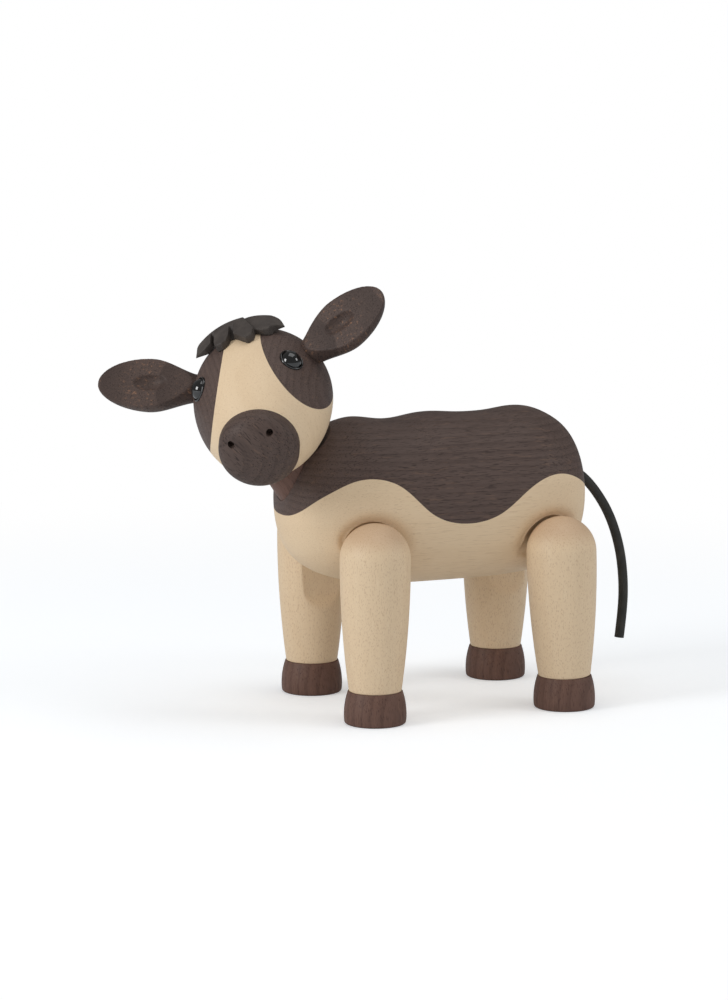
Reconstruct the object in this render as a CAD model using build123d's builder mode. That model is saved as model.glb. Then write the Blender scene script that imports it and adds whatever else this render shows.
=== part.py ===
from build123d import *
import math
import os

# Cow figurine of turned and cut woods. All sizes are in millimetres.
# X points where the cow faces, Y to its left and Z up. Heights count from the floor, and
# forward places from the middle of the four hooves, until the finished pieces are moved
# to the middle of the figurine's own box.

# Body sizes
BODY_LENGTH = 99.8
BODY_WIDTH = 51.0
BODY_HEIGHT = 54.8
BELLY_HEIGHT = 37.9
BODY_FORWARD = 3.3
BACK_DIP = 1.9

# How full the barrel's ends are: 2 is an ellipse, and more is squarer
FRONT_TOP_FULLNESS = 3.5
FRONT_CHEST_FULLNESS = 2.9
REAR_FULLNESS = 3.9
FRONT_PLAN_FULLNESS = 2.75
REAR_PLAN_FULLNESS = 3.6
# Where the barrel's cross sections stand, as shares of its half length
STATION_SHARES = (0.998, 0.98, 0.94, 0.87, 0.76, 0.6, 0.4, 0.2)
# Where the back dips behind the shoulders, and how far along the dip spreads
DIP_PLACE_SHARE = 0.22
DIP_SPREAD_SHARE = 0.15

# The wave joint between the two woods: forward and height shares of the half length and
# half height, from before the chest to behind the rump
WAVE_SHARES = (
    (1.09, -0.25), (0.996, -0.084), (0.898, 0.153), (0.788, 0.288), (0.633, 0.38),
    (0.397, 0.27), (0.18, -0.047), (-0.066, -0.182), (-0.277, -0.099), (-0.471, 0.15),
    (-0.717, 0.307), (-0.888, 0.204), (-0.988, 0.08), (-1.108, -0.077),
)

# Body dowels
BODY_DOWEL_DIAMETER = 6.0
BODY_DOWEL_LENGTH = 16.0
BODY_DOWEL_SPACING = 40.0
BODY_DOWEL_FRONT_DROP = 4.0
BODY_DOWEL_REAR_DROP = 4.5

# Legs and hooves
LEG_SPACING = 64.6
LEG_TRACK = 53.3
LEG_DIAMETER = 22.0
LEG_FOOT_DIAMETER = 16.4
FRONT_HIP_HEIGHT = 51.6
REAR_HIP_HEIGHT = 49.9
HOOF_HEIGHT = 10.3
HOOF_SOLE_DIAMETER = 19.5
HOOF_TOP_DIAMETER = 17.0
HOOF_BULGE = 0.25
HOOF_ROUNDING = 0.9
HOOF_DOWEL_DIAMETER = 5.0
HOOF_DOWEL_LENGTH = 12.0

# Leg pockets and hip pins
POCKET_DIAMETER = 27.0
SADDLE_WIDTH = 36.0
LEG_CLEARANCE = 0.15
HIP_PIN_DIAMETER = 6.0
HIP_PIN_IN_BODY = 9.0
HIP_PIN_IN_LEG = 11.0

# Neck
NECK_DIAMETER = 19.0
NECK_LEAN = 56.0
NECK_LENGTH = 14.0
NECK_CLEARANCE = 0.4
NECK_SEAT_CLEARANCE = 0.15
NECK_PIN_DIAMETER = 6.0
NECK_PIN_IN_NECK = 5.5
NECK_PIN_IN_BODY = 9.0

# Where the neck's dome has its centre, at a share of the body's height over the belly,
# and the head's turning axis through it
DOME_FORWARD = 52.25
DOME_HEIGHT_SHARE = 0.82208
TURN_LEAN = 68.6
HEAD_TURN = 60.2
HEAD_PITCH = 34.0
HEAD_STAND = 18.0
HEAD_PIN_DIAMETER = 6.0
HEAD_PIN_IN_NECK = 6.0
HEAD_PIN_IN_HEAD = 14.0
SOCKET_CLEARANCE = 0.3
SOCKET_RELIEF_DEPTH = 12.0
HEAD_CLEARANCE = 1.8

# Head, with its own axis from the crown's middle to the muzzle
HEAD_DIAMETER = 43.3
MUZZLE_SEAT = 28.2
MUZZLE_DIAMETER = 24.7
MUZZLE_SIDE = 3.0
MUZZLE_DOME = 6.7
MUZZLE_DOWEL_DIAMETER = 6.0
MUZZLE_DOWEL_LENGTH = 14.0
NOSTRIL_DIAMETER = 2.2
NOSTRIL_SPACING = 12.4
NOSTRIL_RISE = 6.7
NOSTRIL_DEPTH = 5.0

# The flat cuts between the blaze and the dark sides of the head
BLAZE_OFFSET = 14.56
BLAZE_TILT = 26.9
BLAZE_SWEEP = 2.7

# Ears
EAR_LENGTH = 30.0
EAR_WIDTH = 16.4
EAR_ROOT_DIAMETER = 9.4
EAR_WIDEST = 14.0
EAR_SEAT_RISE = 24.5
EAR_SEAT_BACK = 6.9
EAR_RISE = 26.1
EAR_SWEEP = 2.0
EAR_ROLL = 55.0
EAR_FACE_OFFSET = 2.0
EAR_FACE_SLOPE = 12.5
EAR_DIMPLE_LENGTH = 10.4
EAR_DIMPLE_WIDTH = 5.0
EAR_DIMPLE_DEPTH = 1.8
EAR_DOWEL_DIAMETER = 3.0
EAR_DOWEL_LENGTH = 10.0

# Eyes
EYE_DIAMETER = 7.8
EYE_PUPIL_DIAMETER = 6.1
EYE_DOME = 2.3
EYE_RIM = 0.5
EYE_SEAT_DEPTH = 0.8
EYE_FORWARD = 8.9
EYE_RISE = 43.0
EYE_STEM_DIAMETER = 2.0
EYE_STEM_LENGTH = 3.5
EYE_SOCKET_CLEARANCE = 0.1

# Forelock strap
FORELOCK_THICKNESS = 2.6
FORELOCK_SPAN = 30.0
FORELOCK_WIDTH = 13.3
FORELOCK_OVERHANG = 3.7
FORELOCK_FLAT_HEIGHT = 18.9
FORELOCK_ROUNDING = 0.5
# The strap's outline seen from above: shares of its half span to the cow's left, and of
# its width back from its longest finger
FORELOCK_SHARES = (
    (-1.0, 0.451), (-1.0, 0.925), (-0.96, 1.0), (0.707, 1.0), (0.773, 0.962), (0.84, 0.902),
    (0.887, 0.827), (0.927, 0.699), (0.953, 0.602), (0.8, 0.571), (0.713, 0.489), (0.68, 0.376),
    (0.567, 0.323), (0.367, 0.414), (0.36, 0.128), (0.233, 0.0), (0.1, 0.15), (-0.06, 0.677),
    (-0.153, 0.774), (-0.2, 0.173), (-0.307, 0.098), (-0.427, 0.128), (-0.493, 0.256),
    (-0.527, 0.857), (-0.747, 0.444),
)

# Tail cord
TAIL_DIAMETER = 3.1
TAIL_CLEARANCE = 0.05
TAIL_HOLE_LENGTH = 10.0
TAIL_ROUTE = (
    (-42.6, 0.0, 74.3), (-49.6, 0.0, 69.9), (-55.3, 0.0, 63.9), (-60.6, 0.0, 55.4),
    (-64.2, 0.0, 44.6), (-65.6, 0.0, 33.8), (-65.4, 0.0, 24.0), (-64.2, 0.0, 15.1),
)
TAIL_CORNER_SHARE = 0.45

# Shared small sizes
PIN_CHAMFER = 0.5
PIN_CLEARANCE = 0.05
PIN_END_CLEARANCE = 0.3
CUT_OVERRUN = 5.0

LEFT = Vector(0, 1, 0)
UP = Vector(0, 0, 1)
HALF = 0.5


def direction_at(lean):
    """Unit vector in the figurine's middle plane, leaning up from straight ahead."""
    angle = math.radians(lean)
    return Vector(math.cos(angle), 0, math.sin(angle))


def turning_plane(origin, axis):
    """Plane for half profiles: local x is the radius, and local y runs along the axis."""
    across = Plane(origin=origin, z_dir=axis).x_dir
    return Plane(origin=origin, x_dir=across, z_dir=across.cross(axis))


def make_pin(start, axis, diameter, length):
    """Straight dowel with eased ends, from its start along its axis."""
    with BuildPart() as pin:
        with BuildSketch(Plane(origin=start, z_dir=axis)):
            Circle(diameter * HALF)
        extrude(amount=length)
        chamfer(pin.edges().filter_by(GeomType.CIRCLE), PIN_CHAMFER)
    return pin


def chord_radius(chord, depth):
    """Radius of the arc that stands a given depth over its chord."""
    return (chord**2 * HALF * HALF + depth**2) * HALF / depth


def end_share(along_share, fullness):
    """How much of the full size a rounded end keeps at a share of the half length."""
    return (1 - abs(along_share) ** fullness) ** (1 / fullness)


# Body form: a lofted barrel with domed ends and a slightly saddled back
body_middle_height = BELLY_HEIGHT + BODY_HEIGHT * HALF
stations = sorted([-share for share in STATION_SHARES] + [0] + list(STATION_SHARES))

with BuildPart() as barrel:
    for share in stations:
        top_fullness = FRONT_TOP_FULLNESS if share > 0 else REAR_FULLNESS
        low_fullness = FRONT_CHEST_FULLNESS if share > 0 else REAR_FULLNESS
        plan_fullness = FRONT_PLAN_FULLNESS if share > 0 else REAR_PLAN_FULLNESS
        dip = BACK_DIP * math.exp(-(((share - DIP_PLACE_SHARE) / DIP_SPREAD_SHARE) ** 2))
        rise = BODY_HEIGHT * HALF * end_share(share, top_fullness) - dip
        drop = BODY_HEIGHT * HALF * end_share(share, low_fullness)
        half_width = BODY_WIDTH * HALF * end_share(share, plan_fullness)
        with BuildSketch(Plane.YZ.offset(BODY_FORWARD + share * BODY_LENGTH * HALF)):
            with Locations((0, body_middle_height + (rise - drop) * HALF)):
                Ellipse(half_width, (rise + drop) * HALF)
    loft()

wave = [
    (
        BODY_FORWARD + along * BODY_LENGTH * HALF,
        body_middle_height + height * BODY_HEIGHT * HALF,
    )
    for along, height in WAVE_SHARES
]
wave_front, wave_rear = wave[0], wave[-1]
above_back = BELLY_HEIGHT + BODY_HEIGHT + CUT_OVERRUN
below_belly = BELLY_HEIGHT - CUT_OVERRUN

# Places shared by the head, the neck and the body
neck_axis = direction_at(NECK_LEAN)
turn_axis = direction_at(TURN_LEAN)
dome_centre = Vector(DOME_FORWARD, 0, BELLY_HEIGHT + BODY_HEIGHT * DOME_HEIGHT_SHARE)
head_centre = dome_centre + turn_axis * HEAD_STAND
neck_seat = dome_centre - neck_axis * NECK_LENGTH

# The legs' hip centres by name, each with the side it is on
hips = {
    f"{end}_{side_name}": (Vector(along * LEG_SPACING * HALF, side * LEG_TRACK * HALF, height), side)
    for end, along, height in (("front", 1, FRONT_HIP_HEIGHT), ("rear", -1, REAR_HIP_HEIGHT))
    for side_name, side in (("left", 1), ("right", -1))
}

pieces = {}

# Dark upper half of the body
tail_points = [Vector(*point) for point in TAIL_ROUTE]
tail_start = tail_points[0]
tail_direction = (tail_points[1] - tail_start).normalized()

dowel_places = {
    end: Vector(sign * BODY_DOWEL_SPACING * HALF, 0, body_middle_height - drop)
    for end, sign, drop in (("front", 1, BODY_DOWEL_FRONT_DROP), ("rear", -1, BODY_DOWEL_REAR_DROP))
}

# What is bored in the glued body: the neck's pocket, open at the front of the shoulders, the
# neck pin's bore, and the two dowels' bores
with BuildPart() as body_bores:
    with BuildSketch(Plane(origin=neck_seat - neck_axis * NECK_SEAT_CLEARANCE, z_dir=neck_axis)):
        Circle(NECK_DIAMETER * HALF + NECK_CLEARANCE)
    extrude(amount=NECK_LENGTH + NECK_DIAMETER)
    with BuildSketch(Plane(origin=neck_seat, z_dir=-neck_axis)):
        Circle(NECK_PIN_DIAMETER * HALF)
    extrude(amount=NECK_PIN_IN_BODY)
    for place in dowel_places.values():
        with BuildSketch(Plane(origin=place, z_dir=UP)):
            Circle(BODY_DOWEL_DIAMETER * HALF)
        extrude(amount=BODY_DOWEL_LENGTH)

with BuildPart() as body_upper:
    add(barrel.part)
    with BuildSketch(Plane.XZ):
        with BuildLine():
            Spline(*wave)
            Polyline(wave_rear, (wave_rear[0], above_back), (wave_front[0], above_back), wave_front)
        make_face()
    extrude(amount=BODY_WIDTH, both=True, mode=Mode.INTERSECT)
    add(body_bores.part, mode=Mode.SUBTRACT)
    # Dish behind the neck that the ball of the head turns over
    with Locations(head_centre):
        Sphere(HEAD_DIAMETER * HALF + HEAD_CLEARANCE, mode=Mode.SUBTRACT)
    with BuildSketch(Plane(origin=tail_start, z_dir=tail_direction)):
        Circle(TAIL_DIAMETER * HALF + TAIL_CLEARANCE)
    extrude(amount=TAIL_HOLE_LENGTH, mode=Mode.SUBTRACT)
pieces["body_upper"] = body_upper

# Light lower half of the body, with a round pocket and a bore at each hip
with BuildPart() as body_lower:
    add(barrel.part)
    with BuildSketch(Plane.XZ):
        with BuildLine():
            Spline(*wave)
            Polyline(wave_rear, (wave_rear[0], below_belly), (wave_front[0], below_belly), wave_front)
        make_face()
    extrude(amount=BODY_WIDTH, both=True, mode=Mode.INTERSECT)
    for hip, side in hips.values():
        outward = LEFT * side
        floor = Vector(hip.X, side * SADDLE_WIDTH * HALF, hip.Z)
        with BuildSketch(Plane(origin=floor, z_dir=outward)):
            Circle(POCKET_DIAMETER * HALF)
        extrude(amount=BODY_WIDTH * HALF, mode=Mode.SUBTRACT)
        with BuildSketch(Plane(origin=floor, z_dir=-outward)):
            Circle(HIP_PIN_DIAMETER * HALF + PIN_CLEARANCE)
        extrude(amount=HIP_PIN_IN_BODY + PIN_END_CLEARANCE, mode=Mode.SUBTRACT)
    add(body_bores.part, mode=Mode.SUBTRACT)
pieces["body_lower"] = body_lower

for end, place in dowel_places.items():
    pieces[f"body_dowel_{end}"] = make_pin(place, UP, BODY_DOWEL_DIAMETER, BODY_DOWEL_LENGTH)


def make_leg(hip, side):
    """Turned leg with a domed top and a gently tapering side, flat where it meets the body."""
    foot = Vector(hip.X, hip.Y, 0)
    top_radius = LEG_DIAMETER * HALF
    flat = side * (SADDLE_WIDTH * HALF + LEG_CLEARANCE)
    with BuildPart() as leg:
        with BuildSketch(turning_plane(foot, UP)):
            with BuildLine():
                TangentArc(
                    (top_radius, hip.Z),
                    (LEG_FOOT_DIAMETER * HALF, HOOF_HEIGHT),
                    tangent=(0, -1),
                )
                CenterArc((0, hip.Z), top_radius, 0, 90)
                Polyline(
                    (0, hip.Z + top_radius),
                    (0, HOOF_HEIGHT),
                    (LEG_FOOT_DIAMETER * HALF, HOOF_HEIGHT),
                )
            make_face()
        revolve(axis=Axis(foot, UP))
        split(bisect_by=Plane(origin=(0, flat, 0), z_dir=LEFT * side), keep=Keep.TOP)
        with BuildSketch(Plane(origin=(hip.X, flat, hip.Z), z_dir=LEFT * side)):
            Circle(HIP_PIN_DIAMETER * HALF)
        extrude(amount=HIP_PIN_IN_LEG, mode=Mode.SUBTRACT)
        with BuildSketch(Plane(origin=foot + UP * HOOF_HEIGHT)):
            Circle(HOOF_DOWEL_DIAMETER * HALF)
        extrude(amount=HOOF_DOWEL_LENGTH * HALF, mode=Mode.SUBTRACT)
    return leg


def make_hoof(hip):
    """Turned hoof that flares to an eased sole, with a blind bore for its dowel."""
    foot = Vector(hip.X, hip.Y, 0)
    middle_radius = (HOOF_SOLE_DIAMETER + HOOF_TOP_DIAMETER) * HALF * HALF + HOOF_BULGE
    with BuildPart() as hoof:
        with BuildSketch(turning_plane(foot, UP)):
            with BuildLine():
                ThreePointArc(
                    (HOOF_SOLE_DIAMETER * HALF, 0),
                    (middle_radius, HOOF_HEIGHT * HALF),
                    (HOOF_TOP_DIAMETER * HALF, HOOF_HEIGHT),
                )
                Polyline(
                    (HOOF_TOP_DIAMETER * HALF, HOOF_HEIGHT),
                    (0, HOOF_HEIGHT),
                    (0, 0),
                    (HOOF_SOLE_DIAMETER * HALF, 0),
                )
            make_face()
        revolve(axis=Axis(foot, UP))
        fillet(hoof.edges().filter_by(GeomType.CIRCLE).sort_by(Axis.Z)[0], HOOF_ROUNDING)
        with BuildSketch(Plane(origin=foot + UP * HOOF_HEIGHT, z_dir=-UP)):
            Circle(HOOF_DOWEL_DIAMETER * HALF)
        extrude(amount=HOOF_DOWEL_LENGTH * HALF, mode=Mode.SUBTRACT)
    return hoof


for name, (hip, side) in hips.items():
    outward = LEFT * side
    pieces[f"leg_{name}"] = make_leg(hip, side)
    pieces[f"hoof_{name}"] = make_hoof(hip)
    dowel_start = Vector(hip.X, hip.Y, HOOF_HEIGHT - HOOF_DOWEL_LENGTH * HALF)
    pieces[f"hoof_dowel_{name}"] = make_pin(dowel_start, UP, HOOF_DOWEL_DIAMETER, HOOF_DOWEL_LENGTH)
    pin_start = Vector(hip.X, side * (SADDLE_WIDTH * HALF - HIP_PIN_IN_BODY), hip.Z)
    pin_length = HIP_PIN_IN_BODY + LEG_CLEARANCE + HIP_PIN_IN_LEG
    pieces[f"hip_pin_{name}"] = make_pin(pin_start, outward, HIP_PIN_DIAMETER, pin_length)

# Neck: a dowel with a domed top, bored from below for its own pin and from the dome for the head's
with BuildPart() as neck:
    with BuildSketch(turning_plane(dome_centre, neck_axis)):
        with BuildLine():
            CenterArc((0, 0), NECK_DIAMETER * HALF, 0, 90)
            Polyline(
                (0, NECK_DIAMETER * HALF),
                (0, -NECK_LENGTH),
                (NECK_DIAMETER * HALF, -NECK_LENGTH),
                (NECK_DIAMETER * HALF, 0),
            )
        make_face()
    revolve(axis=Axis(dome_centre, neck_axis))
    with BuildSketch(Plane(origin=neck_seat, z_dir=neck_axis)):
        Circle(NECK_PIN_DIAMETER * HALF + PIN_CLEARANCE)
    extrude(amount=NECK_PIN_IN_NECK + PIN_END_CLEARANCE, mode=Mode.SUBTRACT)
    head_bore_end = dome_centre - turn_axis * (HEAD_PIN_IN_NECK + PIN_END_CLEARANCE)
    with BuildSketch(Plane(origin=head_bore_end, z_dir=turn_axis)):
        Circle(HEAD_PIN_DIAMETER * HALF + PIN_CLEARANCE)
    extrude(amount=HEAD_PIN_IN_NECK + NECK_DIAMETER, mode=Mode.SUBTRACT)
pieces["neck"] = neck

pieces["neck_pin"] = make_pin(
    neck_seat + neck_axis * NECK_PIN_IN_NECK,
    -neck_axis,
    NECK_PIN_DIAMETER,
    NECK_PIN_IN_NECK + NECK_PIN_IN_BODY,
)
pieces["head_pin"] = make_pin(
    dome_centre - turn_axis * HEAD_PIN_IN_NECK,
    turn_axis,
    HEAD_PIN_DIAMETER,
    HEAD_PIN_IN_NECK + HEAD_PIN_IN_HEAD,
)

# The head's own directions: straight ahead and pitched down, then turned about the turning axis
turn = Axis((0, 0, 0), turn_axis)
head_forward = direction_at(-HEAD_PITCH).rotate(turn, HEAD_TURN)
head_left = LEFT.rotate(turn, HEAD_TURN)
head_up = head_forward.cross(head_left)
head_radius = HEAD_DIAMETER * HALF
seat_drop = head_radius - MUZZLE_DIAMETER * HALF
cheek_radius = (MUZZLE_SEAT**2 + seat_drop**2) * HALF / seat_drop


def head_point(forward, left, up):
    """Point given along the head's own directions from its centre."""
    return head_centre + head_direction(forward, left, up)


def head_direction(forward, left, up):
    """Vector given along the head's own directions."""
    return head_forward * forward + head_left * left + head_up * up


def head_radius_at(forward):
    """Radius of the head's face, a tangent arc from its widest ring to the muzzle's seat."""
    return head_radius - cheek_radius + math.sqrt(cheek_radius**2 - forward**2)


# Turned head form: a ball behind, and one tangent arc down to the muzzle's seat
with BuildPart() as head_form:
    with BuildSketch(turning_plane(head_centre, head_forward)):
        with BuildLine():
            CenterArc((0, 0), head_radius, -90, 90)
            TangentArc(
                (head_radius, 0),
                (MUZZLE_DIAMETER * HALF, MUZZLE_SEAT),
                tangent=(0, 1),
            )
            Polyline((MUZZLE_DIAMETER * HALF, MUZZLE_SEAT), (0, MUZZLE_SEAT), (0, -head_radius))
        make_face()
    revolve(axis=Axis(head_centre, head_forward))

# The two flat cuts beside the blaze, each leaning in over the crown
blaze_tilt = math.radians(BLAZE_TILT)
blaze_sweep = math.radians(BLAZE_SWEEP)
side_cuts = {}
for side_name, side in (("left", 1), ("right", -1)):
    normal = head_direction(
        -math.sin(blaze_sweep), side * math.cos(blaze_tilt), math.sin(blaze_tilt)
    ).normalized()
    side_cuts[side_name] = Plane(origin=head_centre + normal * BLAZE_OFFSET, z_dir=normal)

with BuildPart() as head_blaze:
    add(head_form.part)
    for cut in side_cuts.values():
        split(bisect_by=cut, keep=Keep.BOTTOM)
    # Socket over the neck's dome, opening in a cone so that the leaning neck stays clear
    with BuildSketch(turning_plane(dome_centre, -turn_axis)):
        neck_slant = math.radians(TURN_LEAN - NECK_LEAN)
        socket_radius = NECK_DIAMETER * HALF + SOCKET_CLEARANCE
        mouth_radius = NECK_DIAMETER * HALF / math.cos(neck_slant) + SOCKET_CLEARANCE
        relief_radius = mouth_radius + SOCKET_RELIEF_DEPTH * math.tan(neck_slant)
        with BuildLine():
            CenterArc((0, 0), socket_radius, -90, 90)
            Polyline(
                (socket_radius, 0),
                (mouth_radius, 0),
                (relief_radius, SOCKET_RELIEF_DEPTH),
                (0, SOCKET_RELIEF_DEPTH),
                (0, -socket_radius),
            )
        make_face()
    revolve(axis=Axis(dome_centre, -turn_axis), mode=Mode.SUBTRACT)
    with BuildSketch(Plane(origin=dome_centre, z_dir=turn_axis)):
        Circle(HEAD_PIN_DIAMETER * HALF)
    extrude(amount=HEAD_PIN_IN_HEAD, mode=Mode.SUBTRACT)
    with BuildSketch(Plane(origin=head_point(MUZZLE_SEAT, 0, 0), z_dir=-head_forward)):
        Circle(MUZZLE_DOWEL_DIAMETER * HALF)
    extrude(amount=MUZZLE_DOWEL_LENGTH * HALF, mode=Mode.SUBTRACT)
pieces["head_blaze"] = head_blaze

# Muzzle: a drum with a domed front and two drilled nostrils
with BuildPart() as muzzle:
    with BuildSketch(turning_plane(head_point(MUZZLE_SEAT, 0, 0), head_forward)):
        with BuildLine():
            EllipticalCenterArc(
                (0, MUZZLE_SIDE), MUZZLE_DIAMETER * HALF, MUZZLE_DOME, start_angle=0, arc_size=90
            )
            Polyline(
                (0, MUZZLE_SIDE + MUZZLE_DOME),
                (0, 0),
                (MUZZLE_DIAMETER * HALF, 0),
                (MUZZLE_DIAMETER * HALF, MUZZLE_SIDE),
            )
        make_face()
    revolve(axis=Axis(head_centre, head_forward))
    nostril_floor = head_point(MUZZLE_SEAT + MUZZLE_SIDE + MUZZLE_DOME - NOSTRIL_DEPTH, 0, 0)
    with BuildSketch(Plane(origin=nostril_floor, x_dir=head_left, z_dir=head_forward)):
        with Locations((NOSTRIL_SPACING * HALF, NOSTRIL_RISE), (-NOSTRIL_SPACING * HALF, NOSTRIL_RISE)):
            Circle(NOSTRIL_DIAMETER * HALF)
    extrude(amount=NOSTRIL_DEPTH + CUT_OVERRUN, mode=Mode.SUBTRACT)
    with BuildSketch(Plane(origin=head_point(MUZZLE_SEAT, 0, 0), z_dir=head_forward)):
        Circle(MUZZLE_DOWEL_DIAMETER * HALF)
    extrude(amount=MUZZLE_DOWEL_LENGTH * HALF, mode=Mode.SUBTRACT)
pieces["muzzle"] = muzzle
pieces["muzzle_dowel"] = make_pin(
    head_point(MUZZLE_SEAT - MUZZLE_DOWEL_LENGTH * HALF, 0, 0),
    head_forward,
    MUZZLE_DOWEL_DIAMETER,
    MUZZLE_DOWEL_LENGTH,
)


def ear_directions(side):
    """The ear's seat on the head, its axis towards the tip, and the way its face looks."""
    rise, back = math.radians(EAR_SEAT_RISE), math.radians(EAR_SEAT_BACK)
    seat = head_direction(
        -math.sin(back), side * math.cos(back) * math.cos(rise), math.cos(back) * math.sin(rise)
    )
    rise, forward = math.radians(EAR_RISE), math.radians(EAR_SWEEP)
    axis = head_direction(
        math.sin(forward), side * math.cos(forward) * math.cos(rise), math.cos(forward) * math.sin(rise)
    )
    across = head_forward.cross(axis).normalized() * side
    front = axis.cross(across).normalized() * side
    roll = math.radians(EAR_ROLL)
    face = front * math.cos(roll) + across * math.sin(roll)
    return head_centre + seat * head_radius, axis, face


def make_ear(side):
    """Turned and bored teardrop, sliced to a flat face with a dimple, its root fitted to the head."""
    seat, axis, face = ear_directions(side)
    root_radius, wide_radius = EAR_ROOT_DIAMETER * HALF, EAR_WIDTH * HALF
    slope = math.radians(EAR_FACE_SLOPE)
    face_point = seat + axis * EAR_WIDEST + face * EAR_FACE_OFFSET
    face_normal = face * math.cos(slope) + axis * math.sin(slope)
    with BuildPart() as ear:
        with BuildSketch(Plane(origin=seat, x_dir=-face, z_dir=axis.cross(face))):
            with BuildLine():
                EllipticalCenterArc(
                    (0, EAR_WIDEST), wide_radius, EAR_LENGTH - EAR_WIDEST, start_angle=0, arc_size=90
                )
                TangentArc((wide_radius, EAR_WIDEST), (root_radius, 0), tangent=(0, -1))
                Polyline(
                    (root_radius, 0),
                    (root_radius, -root_radius),
                    (EAR_DOWEL_DIAMETER * HALF, -root_radius),
                    (EAR_DOWEL_DIAMETER * HALF, EAR_DOWEL_LENGTH * HALF),
                    (0, EAR_DOWEL_LENGTH * HALF),
                    (0, EAR_LENGTH),
                )
            make_face()
        revolve(axis=Axis(seat, axis))
        split(bisect_by=Plane(origin=face_point, z_dir=face_normal), keep=Keep.BOTTOM)
        add(head_form.part, mode=Mode.SUBTRACT)
        # Dimple as a ball gouge leaves it when it swings into the face
        ball_radius = chord_radius(EAR_DIMPLE_WIDTH, EAR_DIMPLE_DEPTH)
        swing_radius = chord_radius(EAR_DIMPLE_LENGTH, EAR_DIMPLE_DEPTH)
        along_face = (axis - face_normal * axis.dot(face_normal)).normalized()
        swing_centre = face_point + face_normal * (swing_radius - EAR_DIMPLE_DEPTH)
        far_side = swing_centre + face_normal * (swing_radius - ball_radius)
        with BuildSketch(Plane(origin=far_side, x_dir=-face_normal, z_dir=along_face)):
            Circle(ball_radius)
        revolve(axis=Axis(swing_centre, along_face.cross(face_normal)), mode=Mode.SUBTRACT)
    return ear


def eye_place(side):
    """Middle of the eye on the cheek's surface, and the way out of the surface there."""
    rise = math.radians(EYE_RISE)
    radius = head_radius_at(EYE_FORWARD)
    lean = math.asin(EYE_FORWARD / cheek_radius)
    outward = head_direction(
        math.sin(lean), side * math.cos(lean) * math.cos(rise), math.cos(lean) * math.sin(rise)
    )
    middle = head_point(EYE_FORWARD, side * radius * math.cos(rise), radius * math.sin(rise))
    return middle, outward


def make_eye(side):
    """Glass eye: a domed pupil inside a rolled rim, on a stem."""
    middle, outward = eye_place(side)
    rim, pupil = EYE_DIAMETER * HALF, EYE_PUPIL_DIAMETER * HALF
    with BuildPart() as eye:
        with BuildSketch(turning_plane(middle, outward)):
            with BuildLine():
                ThreePointArc((rim, 0), ((rim + pupil) * HALF, EYE_RIM), (pupil, 0))
                TangentArc((0, EYE_DOME), (pupil, 0), tangent=(1, 0))
                Polyline(
                    (0, EYE_DOME),
                    (0, -EYE_SEAT_DEPTH - EYE_STEM_LENGTH),
                    (EYE_STEM_DIAMETER * HALF, -EYE_SEAT_DEPTH - EYE_STEM_LENGTH),
                    (EYE_STEM_DIAMETER * HALF, -EYE_SEAT_DEPTH),
                    (rim, -EYE_SEAT_DEPTH),
                    (rim, 0),
                )
            make_face()
        revolve(axis=Axis(middle, outward))
    return eye


def make_head_side(side_name, side):
    """Dark side of the head, with the eye's socket and the ear dowel's bore."""
    seat, ear_axis, _ = ear_directions(side)
    middle, outward = eye_place(side)
    with BuildPart() as head_side:
        add(head_form.part)
        split(bisect_by=side_cuts[side_name], keep=Keep.TOP)
        with BuildSketch(Plane(origin=middle - outward * EYE_SEAT_DEPTH, z_dir=outward)):
            Circle(EYE_DIAMETER * HALF + EYE_SOCKET_CLEARANCE)
        extrude(amount=EYE_SEAT_DEPTH + CUT_OVERRUN, mode=Mode.SUBTRACT)
        with BuildSketch(Plane(origin=middle - outward * EYE_SEAT_DEPTH, z_dir=-outward)):
            Circle(EYE_STEM_DIAMETER * HALF)
        extrude(amount=EYE_STEM_LENGTH, mode=Mode.SUBTRACT)
        with BuildSketch(Plane(origin=seat + ear_axis * EAR_DOWEL_LENGTH * HALF, z_dir=-ear_axis)):
            Circle(EAR_DOWEL_DIAMETER * HALF)
        extrude(amount=EAR_DOWEL_LENGTH, mode=Mode.SUBTRACT)
    return head_side


for side_name, side in (("left", 1), ("right", -1)):
    seat, ear_axis, _ = ear_directions(side)
    pieces[f"head_side_{side_name}"] = make_head_side(side_name, side)
    pieces[f"ear_{side_name}"] = make_ear(side)
    pieces[f"ear_dowel_{side_name}"] = make_pin(
        seat - ear_axis * EAR_DOWEL_LENGTH * HALF, ear_axis, EAR_DOWEL_DIAMETER, EAR_DOWEL_LENGTH
    )
    pieces[f"eye_{side_name}"] = make_eye(side)

# Forelock: a strap bent round the crown, its front edge cut into fingers and its ends cut
# flat underneath, level with the top of the head
with BuildPart() as forelock:
    strap_front = head_point(FORELOCK_OVERHANG, 0, 0)
    with BuildSketch(Plane(origin=strap_front, x_dir=head_left, z_dir=-head_forward)):
        Circle(head_radius + FORELOCK_THICKNESS)
        Circle(head_radius, mode=Mode.SUBTRACT)
    extrude(amount=FORELOCK_WIDTH)
    flat_cut = strap_front + head_up * FORELOCK_FLAT_HEIGHT
    with BuildSketch(Plane(origin=flat_cut, x_dir=head_left, z_dir=head_up)) as fingers:
        with BuildLine():
            Polyline(
                *[
                    (across * FORELOCK_SPAN * HALF, back * FORELOCK_WIDTH)
                    for across, back in FORELOCK_SHARES
                ],
                close=True,
            )
        make_face()
        fillet(fingers.vertices(), FORELOCK_ROUNDING)
    extrude(amount=head_radius, mode=Mode.INTERSECT)
pieces["forelock"] = forelock

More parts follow.
